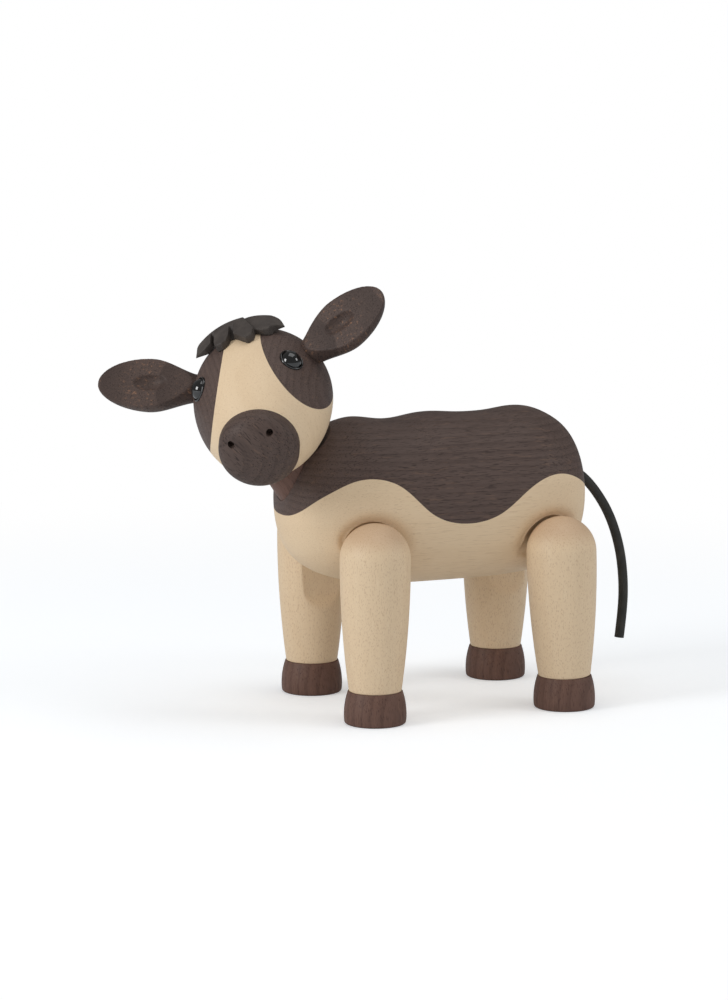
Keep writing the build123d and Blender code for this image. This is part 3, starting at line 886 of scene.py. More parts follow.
def dress(piece: Piece, body: str, node: str, material: bpy.types.Material) -> None:
    """Gives a piece its finish, its shading, its body and the solid that it stands for.

    Args:
        piece: The piece.
        body: The body it moves with.
        node: The solid that it replaces.
        material: The finish.
    """
    if isinstance(piece.data, bpy.types.Mesh):
        shade(piece)
    piece.data.materials.clear()
    piece.data.materials.append(material)
    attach(piece, body)
    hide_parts(node)
    LOG.info("%s rides on %s and stands for %s", piece.name, body, node)


# ---------------------------------------------------------------- body


@dataclass
class NeckPlaces:
    """Where the neck and the head's turning axis are, which several pieces share."""

    dome: Triple = (52.25, 0.0, 82.95)
    lean: float = 56.0
    turn_lean: float = 68.6
    length: float = 14.0
    radius: float = 9.5
    stand: float = 18.0

    @property
    def axis(self) -> np.ndarray:
        """Direction of the neck."""
        return leaning(self.lean)

    @property
    def turn_axis(self) -> np.ndarray:
        """Direction of the head's turning axis."""
        return leaning(self.turn_lean)

    @property
    def seat(self) -> np.ndarray:
        """Middle of the neck's lower end."""
        return np.asarray(self.dome) - self.axis * self.length

    @property
    def head_centre(self) -> np.ndarray:
        """Centre of the head's ball."""
        return np.asarray(self.dome) + self.turn_axis * self.stand


@dataclass
class Barrel:
    """Body of two woods: a domed barrel cut along a wave into a dark back and a light belly."""

    neck: NeckPlaces
    length: float = 99.8
    width: float = 51.0
    height: float = 54.8
    belly_height: float = 37.9
    forward: float = 3.3
    front_top: float = 3.5
    front_chest: float = 2.9
    front_plan: float = 2.75
    rear: float = 3.9
    rear_plan: float = 3.6
    stations: int = 300
    columns: int = 200
    joint_columns: int = 12
    cup_radius: float = 11.2
    cup_spread: Pair = (1.14, 1.04)
    cup_middle: float = 26.65
    rim_width: float = 3.6
    rim_drop: float = 1.3
    saddle_width: float = 36.0
    keel_lift: float = 0.85
    swing: float = 35.0
    swing_radius: float = 11.9
    swing_run: float = 26.0
    neck_clearance: float = 0.15
    seat_clearance: float = 0.15
    dish_radius: float = 23.45
    crest: Line = (
        (-1.0, 0.0), (-0.92, 0.61), (-0.82, 1.06), (-0.7, 1.54), (-0.58, 1.0), (-0.45, -0.35),
        (-0.32, -0.94), (-0.18, -0.79), (-0.05, -0.3), (0.08, -0.62), (0.2, -1.55), (0.32, -1.55),
        (0.43, -0.5), (0.52, 0.2), (0.64, -0.1), (0.8, 0.0), (1.0, 0.0),
    )
    wave: Line = (
        (1.09, -0.25), (0.996, -0.084), (0.898, 0.11), (0.788, 0.25), (0.633, 0.366),
        (0.397, 0.298), (0.18, -0.047), (-0.066, -0.182), (-0.277, -0.099), (-0.471, 0.15),
        (-0.717, 0.307), (-0.888, 0.204), (-0.988, 0.08), (-1.108, -0.077),
    )

    @property
    def middle_height(self) -> float:
        """Height of the barrel's middle line."""
        return self.belly_height + self.height / 2

    def sections(self, share: np.ndarray) -> tuple[np.ndarray, np.ndarray, np.ndarray]:
        """Ellipses across the barrel.

        The rise over the middle line and the drop under it are half the height times the
        end shares. The crest line adds the saddle and the hump of the rump to the rise, and the
        keel lift, less its fourth power of the place, flattens the drop.

        Args:
            share: Places as shares of the half length.

        Returns:
            Half widths, half heights and middle heights.
        """
        ahead = share > 0
        top = np.where(ahead, end_share(share, self.front_top), end_share(share, self.rear))
        low = np.where(ahead, end_share(share, self.front_chest), end_share(share, self.rear))
        plan = np.where(ahead, end_share(share, self.front_plan), end_share(share, self.rear_plan))
        crest = smooth_line(np.array(self.crest) * (self.length / 2, 1))
        saddle = np.interp(share * self.length / 2, crest[:, 0], crest[:, 1])
        rise = self.height / 2 * top + saddle
        drop = self.height / 2 * low - self.keel_lift * (1 - share**4)
        return self.width / 2 * plan, (rise + drop) / 2, self.middle_height + (rise - drop) / 2

    def wave_height(self, share: np.ndarray) -> np.ndarray:
        """Height of the wave joint, which runs smoothly through its points.

        Args:
            share: Places as shares of the half length.

        Returns:
            Heights over the floor.
        """
        curve = smooth_line(np.array(self.wave)[::-1] * (self.length / 2, self.height / 2))
        return self.middle_height + np.interp(share * self.length / 2, curve[:, 0], curve[:, 1])

    def places(self, first: float, last: float) -> np.ndarray:
        """Shares of the half length by steps of the outline, closer towards both ends.

        The two stations next to each end are left out, because rings so near the pole
        would be under 0.03 mm across.

        Args:
            first: Share of the half length at which the stations start.
            last: Share at which they end.

        Returns:
            The stations' shares.
        """
        share = np.sin(np.linspace(-math.pi / 2, math.pi / 2, 6001))
        _, half_height, _ = self.sections(share)
        outline = np.stack((share * self.length / 2, half_height), axis=1)
        run = np.concatenate(((0.0,), np.cumsum(np.linalg.norm(np.diff(outline, axis=0), axis=1))))
        ends = np.interp((first, last), share, run)
        ease = (1 - np.cos(np.linspace(0, math.pi, self.stations))) / 2
        ease = np.delete(ease, (1, 2, -3, -2))
        return np.interp(ends[0] + (ends[1] - ends[0]) * ease, run, share)

    def closing_place(self, sign: int, top: bool) -> float:
        """Share at which the wave leaves the barrel's end above or below its pole.

        Args:
            sign: 1 at the front and -1 at the rear.
            top: Whether the half that closes there is the upper one.

        Returns:
            The share of the half length.
        """
        share = sign * np.sin(np.linspace(0.3, 1, 60001) * math.pi / 2)
        _, half_height, middle = self.sections(share)
        wave = self.wave_height(share)
        left = (middle + half_height - wave) if top else (wave - middle + half_height)
        return float(share[int(np.argmax(left < 0)) - 1]) if (left < 0).any() else float(sign)

    def cup(self, depth: np.ndarray) -> np.ndarray:
        """Radius of a leg's cup: the root of its own radius squared less the way out squared.

        Args:
            depth: Places out from the middle plane.

        Returns:
            The cup's radius at each place.
        """
        return np.sqrt(np.maximum(self.cup_radius**2 - (self.cup_middle - depth) ** 2, 1.0))

    def sunk(
        self, along: np.ndarray, across: np.ndarray, high: np.ndarray, hips: Sequence[np.ndarray]
    ) -> np.ndarray:
        """Surface eased inward round the cups, so that their rims are soft.

        The drop falls with the square of the way out from the rim, and ends a rim's width
        away.

        Args:
            along: Forward places.
            across: Places to the left.
            high: Heights.
            hips: The legs' hip centres.

        Returns:
            The new places to the left.
        """
        for hip in hips:
            side = math.copysign(1.0, hip[1])
            depth = np.maximum(across * side, 0)
            wide, tall = self.cup_spread
            spread = np.hypot((along - hip[0]) / wide, (high - hip[2]) / tall)
            out = np.clip((spread - self.cup(depth)) / self.rim_width, 0, 1)
            near = np.clip((depth - self.saddle_width / 2 + 1) / 2, 0, 1)
            across = across - side * self.rim_drop * (1 - out) ** 2 * near
        return across

    def half(self, name: str, top: bool, hips: Sequence[np.ndarray] = ()) -> Piece:
        """One half of the barrel.

        A ring's point is half the width times the cosine and half the height times the
        sine of its angle, over the part of the ellipse on this side of the wave. The ring
        closes straight across the joint.

        Args:
            name: The piece's name.
            top: Whether it is the upper half.
            hips: Hip centres of the legs that it holds.

        Returns:
            The piece.
        """
        share = self.places(self.closing_place(-1, top), self.closing_place(1, top))
        half_width, half_height, middle = (part[:, None] for part in self.sections(share))
        wave = self.wave_height(share)[:, None]
        small = np.maximum(half_height, 1e-9)
        edge = np.arcsin(np.clip((wave - middle) / small, -1, 1))
        turn = np.linspace(0, 1, self.columns)[None]
        if top:
            angle = edge + (math.pi - 2 * edge) * turn
        else:
            angle = math.pi - edge + (math.pi + 2 * edge) * turn
        across, high = half_width * np.cos(angle), middle + half_height * np.sin(angle)
        back = np.linspace(0, 1, self.joint_columns + 2)[None, 1:-1]
        across, high = (
            np.concatenate((part, part[:, -1:] * (1 - back) + part[:, :1] * back), axis=1)
            for part in (across, high)
        )
        along = np.broadcast_to(self.forward + share[:, None] * self.length / 2, across.shape)
        across = self.sunk(along, across, high, hips)
        for end in (0, -1):
            across[end], high[end] = across[end].mean(), high[end].mean()
        return make_piece(name, np.stack((along, across, high), axis=-1))

    def cup_cutter(self, hip: np.ndarray) -> Piece:
        """Cutter for a leg's cup: flat inside, round to its middle and straight from there.

        Args:
            hip: The leg's hip centre.

        Returns:
            A closed form.
        """
        depth = np.linspace(self.saddle_width / 2, self.cup_middle, 24)
        wall = np.stack((self.cup(depth), depth), axis=1)
        mouth = ((self.cup_radius, self.width), (0.0, self.width))
        profile = np.concatenate((((0.0, depth[0]),), wall, mouth))
        wide, tall = self.cup_spread
        outward = LEFTWARD * math.copysign(1.0, hip[1])
        axes = Axes(np.array((hip[0], 0.0, hip[2])), ALONG * wide, UPWARD * tall, outward)
        return make_piece("cup", lathe(profile, axes))

    def swing_cutter(self, hip: np.ndarray) -> Piece:
        """Cutter for the room a leg takes in its cup when its foot swings to the middle.

        Args:
            hip: The leg's hip centre.

        Returns:
            The top of a leg, leaning by the swing, and flat where the cup is.
        """
        dome = quarter(self.swing_radius, self.swing_radius, 30)
        foot = ((self.swing_radius * 0.96, -self.swing_run), (0.0, -self.swing_run))
        axis = turned(UPWARD, LEFTWARD, math.copysign(self.swing, hip[0]))
        surface = lathe(np.concatenate((dome, foot)), Axes.about(hip, axis))
        side = math.copysign(1.0, hip[1])
        surface[..., 1] = side * np.maximum(side * surface[..., 1], self.saddle_width / 2)
        return make_piece("swing", surface)

    def neck_bore(self) -> Piece:
        """Cutter for the neck's pocket."""
        start = self.neck.seat - self.neck.axis * self.seat_clearance
        radius = self.neck.radius + self.neck_clearance
        return drill(start, self.neck.axis, radius, 2 * self.neck.length)

    def build(self, hips: dict[Corner, np.ndarray]) -> None:
        """Makes both halves with their pockets.

        Args:
            hips: The legs' hip centres.
        """
        upper = self.half("body_back", True)
        ball = quarter(self.dish_radius, self.dish_radius, 40)
        dish = np.concatenate((ball, ball[-2::-1] * (1, -1)))
        dish_cutter = make_piece("dish", lathe(dish, Axes.about(self.neck.head_centre, UPWARD)))
        carve(upper, self.neck_bore(), dish_cutter)
        grain = Grain((0.0, 9.0, -40.0), (1.0, 0.012, 0.02))
        SMOKED_OAK.dress(upper, "torso", "body_upper", "oak_back", grain)

        lower = self.half("body_belly", False, list(hips.values()))
        cups = [self.cup_cutter(hip) for hip in hips.values()]
        swings = [self.swing_cutter(hip) for hip in hips.values()]
        carve(lower, self.neck_bore(), *cups, *swings)
        grain = Grain((0.0, 30.0, -70.0), (1.0, 0.02, 0.01))
        BELLY_MAPLE.dress(lower, "torso", "body_lower", "maple_belly", grain)


# ---------------------------------------------------------------- legs


@dataclass
class Leg:
    """Turned leg with a domed top, flat inside where it lies in its pocket, on a flared hoof."""

    corner: Corner
    spacing: float = 64.6
    track: float = 53.3
    radius: float = 11.0
    foot_radius: float = 8.2
    front_hip: float = 51.6
    rear_hip: float = 49.9
    hoof_height: float = 10.3
    sole_radius: float = 9.55
    hoof_top_radius: float = 8.5
    hoof_bulge: float = 0.6
    sole_ease: float = 0.9
    edge_ease: float = 0.25
    flat_place: float = 18.15
    flat_end: float = 33.5
    flat_fade: float = 8.0
    # Shares of the radius over the hip where the dome darkens: end grain, and partly painted shade.
    end_grain_and_shade: Pair = (0.15, 0.75)
    lean: float = 0.0

    @property
    def hip(self) -> np.ndarray:
        """Hip centre."""
        sign, side = self.corner.value
        height = self.front_hip if sign > 0 else self.rear_hip
        return np.array((sign * self.spacing / 2 + self.lean, side.value * self.track / 2, height))

    def build(self, leg_grain: Grain, hoof_grain: Grain) -> None:
        """Makes the leg and its hoof.

        Args:
            leg_grain: How the leg lies in its board.
            hoof_grain: How the hoof lies in its board.
        """
        self.build_leg(leg_grain)
        self.build_hoof(hoof_grain)

    def build_leg(self, grain: Grain) -> None:
        """Makes the leg.

        The turned form is held back to a flat inside its pocket, and the flat gives way
        smoothly to the round under the belly. A dome's surface faces up by its height over
        the hip as a share of its radius, and with it the colour darkens: end grain, and
        painted shade where the dome sits under the body.

        Args:
            grain: How the leg lies in its board.
        """
        word, hip = self.corner.word, self.hip
        side = self.corner.value[1].value
        ankle = np.array((hip[0] - self.lean, hip[1], self.hoof_height))
        dome = quarter(self.radius, self.radius, 28) + (0, hip[2])
        taper = swell(self.radius, self.foot_radius, hip[2] - self.hoof_height, 40)
        taper = taper[1:-1] * (1, -1) + (0, hip[2])
        ankle_edge = (self.foot_radius, self.hoof_height, self.edge_ease)
        base = eased(((*taper[-1], 0.0), ankle_edge, (0.0, self.hoof_height, 0.0)))
        profile = np.concatenate((dome, taper[:-1], base)) - (0, self.hoof_height)
        surface = lathe(profile, Axes.about(ankle, hip - ankle), 160)
        under = np.clip((self.flat_end - surface[..., 2]) / self.flat_fade, 0, 1)
        inner = self.flat_place - self.radius / 4 * under**2 * (3 - 2 * under)
        surface[..., 1] = side * np.maximum(side * surface[..., 1], inner)
        leg = make_piece(f"leg_turned_{word}", surface)
        # Band of the dome's darkening: end grain, and partly painted shade under the body.
        middle = float((hip - grain.pith) @ unit(grain.direction))
        ends = tuple(middle + share * self.radius for share in self.end_grain_and_shade)
        grain = replace(grain, ends=ends)
        LEG_MAPLE.dress(leg, f"{word}_leg", f"leg_{word}", f"maple_leg_{word}", grain)

    def build_hoof(self, grain: Grain) -> None:
        """Makes the hoof: flared to its sole, slightly bulged and eased at both edges.

        Args:
            grain: How the hoof lies in its board.
        """
        word, hip = self.corner.word, self.hip
        foot = Axes.about((hip[0] - self.lean, hip[1], 0.0), UPWARD)
        low, high = self.sole_ease * 1.6, self.hoof_height - self.edge_ease * 1.6
        height = np.linspace(low, high, 14)
        share = height / self.hoof_height
        flare = self.sole_radius + (self.hoof_top_radius - self.sole_radius) * share
        flare = flare + self.hoof_bulge * 4 * share * (1 - share)
        wall = np.stack((flare, height), axis=1)[::-1]
        top_edge = (self.hoof_top_radius, self.hoof_height, self.edge_ease)
        top = eased(((0.0, self.hoof_height, 0.0), top_edge, (*wall[0], 0.0)))
        sole_edge = (self.sole_radius, 0.0, self.sole_ease)
        sole = eased(((*wall[-1], 0.0), sole_edge, (0.0, 0.0, 0.0)), 9)
        profile = np.concatenate((top, wall[1:-1], sole))
        hoof = make_piece(f"hoof_turned_{word}", lathe(profile, foot, 112))
        WALNUT.dress(hoof, f"{word}_leg", f"hoof_{word}", f"walnut_hoof_{word}", grain)


# ---------------------------------------------------------------- neck and head


@dataclass
class Neck:
    """Neck dowel with a domed top."""

    places: NeckPlaces
    edge_ease: float = 0.4

    def build(self) -> None:
        """Makes the neck."""
        radius, length = self.places.radius, self.places.length
        base = eased(((radius, 0.0, 0.0), (radius, -length, self.edge_ease), (0.0, -length, 0.0)))
        profile = np.concatenate((quarter(radius, radius, 32), base[1:]))
        neck = make_piece("neck_turned", lathe(profile, Axes.about(self.places.dome, self.places.axis)))
        grain = Grain((40.0, 14.0, 60.0), tuple(self.places.axis))
        WALNUT.dress(neck, "neck", "neck", "walnut_neck", grain)


@dataclass
class Head:
    """Head turned to a ball with a tapering face, in three woods and with all that it carries."""

    neck: NeckPlaces
    pitch: float = 34.0
    turn: float = 60.2
    radius: float = 21.65
    muzzle_seat: float = 28.2
    muzzle_radius: float = 12.35
    blaze_offset: float = 14.56
    blaze_shift: float = 0.9
    blaze_tilt: float = 26.9
    blaze_sweep: float = 2.7
    socket_clearance: float = 0.3
    socket_depth: float = 12.0
    muzzle_side: float = 3.0
    muzzle_dome: float = 6.7
    muzzle_edge: float = 1.5
    nostril_radius: float = 1.1
    nostril_place: Pair = (6.2, 6.7)
    nostril_depth: float = 5.0
    drill_length: float = 12.0
    axes: Axes = field(init=False)

    def __post_init__(self) -> None:
        """Works out the head's own axes: x ahead, y to its left and z up."""
        ahead = turned(leaning(-self.pitch), self.neck.turn_axis, self.turn)
        left = turned(LEFTWARD, self.neck.turn_axis, self.turn)
        self.axes = Axes(self.neck.head_centre, ahead, left, np.cross(ahead, left))

    def direction(self, ahead: float, left: float, up: float) -> np.ndarray:
        """Vector given along the head's own axes."""
        return self.axes.x * ahead + self.axes.y * left + self.axes.z * up

    def aimed(self, ahead: float, rise: float, sign: int) -> np.ndarray:
        """Direction out from the head's axis.

        Args:
            ahead: Angle by which it leans ahead.
            rise: Angle by which it stands over the side.
            sign: Which side it goes to.

        Returns:
            The direction.
        """
        out = math.cos(ahead)
        return self.direction(
            math.sin(ahead), sign * out * math.cos(rise), out * math.sin(rise)
        )

    def point(self, ahead: float, left: float, up: float) -> np.ndarray:
        """Point given along the head's own axes."""
        return self.axes.origin + self.direction(ahead, left, up)

    def form(self, name: str) -> Piece:
        """Whole head form: a ball behind and one swelling arc to the muzzle's seat.

        Args:
            name: The piece's name.

        Returns:
            The piece.
        """
        ball = quarter(self.radius, self.radius, 52)[1:-1] * (1, -1)
        face = swell(self.radius, self.muzzle_radius, self.muzzle_seat, 60)
        ends = (((0.0, -self.radius),), ball, face, ((0.0, self.muzzle_seat),))
        turning = Axes.about(self.axes.origin, self.axes.x, self.axes.z)
        return make_piece(name, lathe(np.concatenate(ends), turning, 200))

    def cut_plane(self, side: Side) -> tuple[np.ndarray, np.ndarray]:
        """Point and normal of the flat joint between the blaze and a dark side."""
        tilt, back = math.radians(self.blaze_tilt), math.radians(self.blaze_sweep)
        normal = unit(self.direction(-math.sin(back), side.value * math.cos(tilt), math.sin(tilt)))
        offset = self.blaze_offset + side.value * self.blaze_shift
        return self.axes.origin + normal * offset, normal

    def socket(self) -> Piece:
        """Cutter for the socket over the neck's dome: a ball that opens in a cone."""
        slant = math.radians(self.neck.turn_lean - self.neck.lean)
        inner = self.neck.radius + self.socket_clearance
        mouth = self.neck.radius / math.cos(slant) + self.socket_clearance
        wide = mouth + self.socket_depth * math.tan(slant)
        line = ((mouth, 0.0), (wide, self.socket_depth), (0.0, self.socket_depth))
        profile = np.concatenate((quarter(inner, inner, 24) * (1, -1), line))
        return make_piece("socket", lathe(profile, Axes.about(self.neck.dome, -self.neck.turn_axis)))

    def build(self) -> None:
        """Makes the blaze, the dark sides and the muzzle."""
        blaze = self.form("face_blaze")
        for side in Side:
            slice_off(blaze, *self.cut_plane(side))
        carve(blaze, self.socket())
        grain = Grain(tuple(self.point(0.0, 12.0, -60.0)), tuple(self.direction(0.25, 0.06, 0.97)))
        MAPLE.dress(blaze, "head", "head_blaze", "maple_blaze", grain)
        for side in Side:
            cheek = self.form(f"face_{side.word}")
            point, normal = self.cut_plane(side)
            slice_off(cheek, point, -normal)
            pith = tuple(self.point(-30.0, side.value * 40.0, -20.0))
            grain = Grain(pith, tuple(self.direction(0.9, side.value * 0.1, 0.42)))
            name = f"oak_face_{side.word}"
            SMOKED_OAK.dress(cheek, "head", f"head_side_{side.word}", name, grain)
        self.build_muzzle()

    def build_muzzle(self) -> None:
        """Makes the muzzle: a drum with a domed front and two drilled nostrils."""
        front = quarter(self.muzzle_radius, self.muzzle_dome, 40) + (0, self.muzzle_side)
        edges = ((self.muzzle_radius, self.muzzle_edge), (self.muzzle_radius, 0.0), (0.0, 0.0))
        seat = Axes.about(self.point(self.muzzle_seat, 0, 0), self.axes.x, self.axes.z)
        muzzle = make_piece("muzzle_turned", lathe(np.concatenate((front, edges)), seat, 160))
        floor = self.muzzle_seat + self.muzzle_side + self.muzzle_dome - self.nostril_depth
        left, up = self.nostril_place
        starts = (self.point(floor, side.value * left, up) for side in Side)
        bore = (self.axes.x, self.nostril_radius, self.drill_length)
        carve(muzzle, *(drill(start, *bore) for start in starts))
        grain = Grain(tuple(self.point(10.0, 30.0, -36.0)), (-0.606, 0.369, -0.69))
        FACE_OAK.dress(muzzle, "head", "muzzle", "oak_muzzle", grain)


@dataclass
class Ear:
    """Turned teardrop sliced to a flat face with a gouged dimple."""

    head: Head
    side: Side
    length: float = 30.4
    widest_radius: float = 8.45
    root_radius: float = 4.5
    waist_share: float = 0.55
    widest: float = 14.0
    root_inset: float = 1.2
    seat_rise: float = 24.5
    seat_back: float = 6.9
    rise: float = 26.1
    sweep: float = 2.0
    roll: float = 55.0
    face_offset: float = 2.0
    face_slope: float = 12.5
    dimple: Triple = (10.6, 5.3, 2.0)
    sanding_grid: float = 0.2
    sanding_rounds: int = 18

    def directions(self) -> tuple[np.ndarray, np.ndarray, np.ndarray]:
        """Seat on the head's ball, axis to the tip and the way that the face looks."""
        sign = self.side.value
        outward = self.head.aimed(-math.radians(self.seat_back), math.radians(self.seat_rise), sign)
        axis = self.head.aimed(math.radians(self.sweep), math.radians(self.rise), sign)
        across = unit(np.cross(self.head.axes.x, axis)) * sign
        front = unit(np.cross(axis, across)) * sign
        roll = math.radians(self.roll)
        face = front * math.cos(roll) + across * math.sin(roll)
        return self.head.axes.origin + outward * self.head.radius, axis, face

    def gouge(self, middle: np.ndarray, normal: np.ndarray, axis: np.ndarray) -> Piece:
        """Cutter for the dimple: a ball swung round a circle, so a ring with a round section.

        Args:
            middle: Middle of the dimple on the face.
            normal: The face's normal.
            axis: The ear's axis.

        Returns:
            The cutter.
        """
        length, width, depth = self.dimple
        ball = swell_radius(depth, width / 2)
        swing = swell_radius(depth, length / 2)
        centre = middle + normal * (swing - depth)
        along = unit(axis - normal * float(axis @ normal))
        round_swing = np.linspace(0, 2 * math.pi, 96, endpoint=False)[:, None]
        round_ball = np.linspace(0, 2 * math.pi, 64, endpoint=False)[None]
        reach = swing - ball + ball * np.cos(round_ball)
        out = ball * np.sin(round_ball) + 0 * round_swing
        ring = np.stack((reach * np.cos(round_swing), reach * np.sin(round_swing), out), axis=-1)
        axes = Axes(centre, -normal, along, np.cross(-normal, along))
        return make_piece("gouge", axes.place(ring), closed_rows=True)

    def build(self, grain: Grain) -> None:
        """Makes the ear.

        From its widest ring to its root the radius falls by a mix of the square of the way
        and half of one minus its cosine, which gives the slight waist.

        Args:
            grain: How it lies in its board.
        """
        seat, axis, face = self.directions()
        slope = math.radians(self.face_slope)
        middle = seat + axis * self.widest + face * self.face_offset
        normal = face * math.cos(slope) + axis * math.sin(slope)
        tip = quarter(self.widest_radius, self.length - self.widest, 44) + (0, self.widest)
        fall = np.linspace(0, 1, 40)
        waist = self.waist_share * (1 - np.cos(math.pi * fall)) / 2 + (1 - self.waist_share) * fall**2
        radius = self.widest_radius - (self.widest_radius - self.root_radius) * waist
        side_line = np.stack((radius, -self.widest * fall), axis=1)
        root = ((self.root_radius, -self.root_inset), (0.0, -self.root_inset))
        profile = np.concatenate((tip, side_line[1:] + (0, self.widest), root))
        word = self.side.word
        ear = make_piece(f"ear_turned_{word}", lathe(profile, Axes.about(seat, axis, face), 160))
        slice_off(ear, middle, normal)
        carve(ear, self.gouge(middle, normal, axis))
        soften(ear, self.sanding_grid, self.sanding_rounds)
        EAR_OAK.dress(ear, "head", f"ear_{word}", f"oak_ear_{word}", grain)


@dataclass
class Eye:
    """Black glass eye: a domed pupil inside a rolled rim."""

    head: Head
    side: Side
    radius: float = 3.9
    pupil_radius: float = 3.3
    dome: float = 2.5
    rim: float = 0.4
    seat_depth: float = 0.8
    ahead: float = 8.9
    rise: float = 43.0

    def build(self) -> None:
        """Makes the eye."""
        arc = swell_radius(self.head.radius - self.head.muzzle_radius, self.head.muzzle_seat)
        radius = self.head.radius - arc + math.sqrt(arc**2 - self.ahead**2)
        lean, rise, sign = math.asin(self.ahead / arc), math.radians(self.rise), self.side.value
        outward = self.head.aimed(lean, rise, sign)
        middle = self.head.point(self.ahead, sign * radius * math.cos(rise), radius * math.sin(rise))
        ball = swell_radius(self.dome, self.pupil_radius)
        reach = math.asin(self.pupil_radius / ball)
        reach = reach if self.dome < ball else math.pi - reach
        angle = np.linspace(0, reach, 30)
        pupil = np.stack((ball * np.sin(angle), self.dome - ball + ball * np.cos(angle)), axis=1)
        round_rim = np.linspace(0, math.pi, 26)[1:]
        rim_middle = (self.radius + self.pupil_radius) / 2
        rim_half = (self.radius - self.pupil_radius) / 2
        rim_radius = rim_middle - rim_half * np.cos(round_rim)
        rim = np.stack((rim_radius, self.rim * np.sin(round_rim)), axis=1)
        base = ((self.radius, -self.seat_depth), (0.0, -self.seat_depth))
        word = self.side.word
        seat = Axes.about(middle, outward, self.head.axes.x)
        eye = make_piece(f"eye_bead_{word}", lathe(np.concatenate((pupil, rim, base)), seat, 144))
        dress(eye, "head", f"eye_{word}", EYE_GLASS.material(f"glass_{word}"))


@dataclass
class Forelock:
    """Leather strap bent round the crown, its front edge cut into fingers."""

    head: Head
    thickness: float = 2.6
    span: float = 30.0
    width: float = 13.3
    overhang: float = 3.7
    flat_height: float = 18.9
    soft: float = 0.3
    crease: Triple = (0.19, 0.86, 0.47)
    crease_depth: float = 0.7
    crease_spread: float = 2.6
    crease_wall: float = 0.35
    under_ease: float = 0.12
    upper_ease: float = 0.22
    narrowing: float = 1.05
    columns: int = 560
    notches: tuple[tuple[float, float, float, float], ...] = (
        (-0.555, 0.4, 0.93, 0.75), (-0.105, 0.2, 0.8, 0.85),
    )
    notch_depth: float = 2.2
    notch_wall: float = 0.3
    notch_runs: Pair = (0.05, 0.2)
    back_edge: Line = (
        (-1.0, 0.925), (-0.96, 1.0), (0.707, 1.0), (0.773, 0.962), (0.84, 0.902),
        (0.887, 0.827), (0.927, 0.699), (0.953, 0.602),
    )
    front_edge: Line = (
        (-1.0, 0.451), (-0.747, 0.444), (-0.527, 0.56), (-0.493, 0.256), (-0.427, 0.128),
        (-0.307, 0.098), (-0.2, 0.173), (-0.153, 0.4), (-0.06, 0.36), (0.1, 0.15),
        (0.233, 0.0), (0.36, 0.128), (0.367, 0.414), (0.567, 0.323), (0.68, 0.376),
        (0.713, 0.489), (0.8, 0.571), (0.953, 0.602),
    )

    def edge(self, across: np.ndarray, points: Line) -> np.ndarray:
        """Edge of the strap: its points joined straight, then rounded by a running mean."""
        table = np.array(points)
        back = np.interp(across, table[:, 0], table[:, 1]) * self.width
        reach = max(1, round(self.soft / (self.span / self.columns)))
        weight = np.hanning(2 * reach + 3)[1:-1]
        padded = np.pad(back, reach, mode="edge")
        return np.convolve(padded, weight / weight.sum(), mode="valid")

    def build(self) -> None:
        """Makes the strap.

        Each ring is the strap's section at one place across the crown: a rounded
        rectangle from the front edge to the back edge. Its outer points stand over the
        head's axis at the root of the outer radius squared less the place across squared,
        and its inner ones likewise, or where the strap's flat underside is if that is
        higher. The rounding shrinks where the strap is too narrow for it, and the last
        section closes to a line.
        """
        across = np.linspace(self.back_edge[0][0], self.back_edge[-1][0], self.columns)
        front, back = self.edge(across, self.front_edge), self.edge(across, self.back_edge)
        front[-1] = back[-1] = (front[-1] + back[-1]) / 2
        low, high = self.under_ease, self.upper_ease
        corners = ((0.0, 0.0, low), (0.0, 1.0, high), (1.0, 1.0, high), (1.0, 0.0, low))
        section = eased(((0.5, 0.0, 0.0), *corners, (0.5, 0.0, 0.0)), 6)[:-1]
        flat = section[:, 0]
        share = np.where(flat < 0.5, flat, 1 - flat)
        run = (back - front)[:, None]
        full = np.minimum(self.thickness, run / 2 / (self.narrowing * self.upper_ease))
        ease = np.minimum(share[None] * full, run / 2)
        place = np.where(flat < 0.5, front[:, None] + ease, back[:, None] - ease)
        fine = np.linspace(0, 1, 26)[1:-1]
        place, height = self.fill(place, np.broadcast_to(section[:, 1], place.shape), fine)
        side = across[:, None] * self.span / 2
        outer = np.sqrt((self.head.radius + self.thickness) ** 2 - side**2)
        inner = np.maximum(np.sqrt(self.head.radius**2 - side**2), self.flat_height)
        over = inner + (outer - inner) * height
        across_crease = side - self.creased(place)
        dent = np.where(across_crease > 0, np.exp(-across_crease / self.crease_spread), 0)
        wall = np.clip(across_crease / self.crease_wall, 0, 1)
        over = over - self.crease_depth * dent * height * wall
        over = over - self.notch_depth * self.notched(place, side) * height
        tips, own = self.head.point(self.overhang, 0, 0), self.head.axes
        points = np.stack((place, np.broadcast_to(side, place.shape), over), axis=-1)
        strap = make_piece("forelock_strap", Axes(tips, -own.x, own.y, own.z).place(points))
        self.cap(strap)
        dress(strap, "head", "forelock", STRAP.material("leather_forelock"))

    def creased(self, place: np.ndarray) -> np.ndarray:
        """Place across of the fold in the strap's outer face, at each place back.

        Args:
            place: Places back from the longest finger.

        Returns:
            The fold's places across.
        """
        start, back, slant = self.crease
        return self.span / 2 * start + (self.width * back - place) * slant

    def notched(self, place: np.ndarray, side: np.ndarray) -> np.ndarray:
        """Share of the notches' depth: full between a notch's walls and none outside them.

        Args:
            place: Places back from the longest finger.
            side: Places across.

        Returns:
            The share at each point.
        """
        share = np.zeros_like(place)
        back = place / self.width
        fore_run, back_run = self.notch_runs
        for middle, first, last, half in self.notches:
            off = np.abs(side - self.span / 2 * middle)
            wall = np.clip((half - off) / self.notch_wall, 0, 1)
            fore = np.clip((back - first) / fore_run, 0, 1)
            rear = np.clip((last - back) / back_run, 0, 1)
            share = np.maximum(share, wall * fore * rear)
        return share

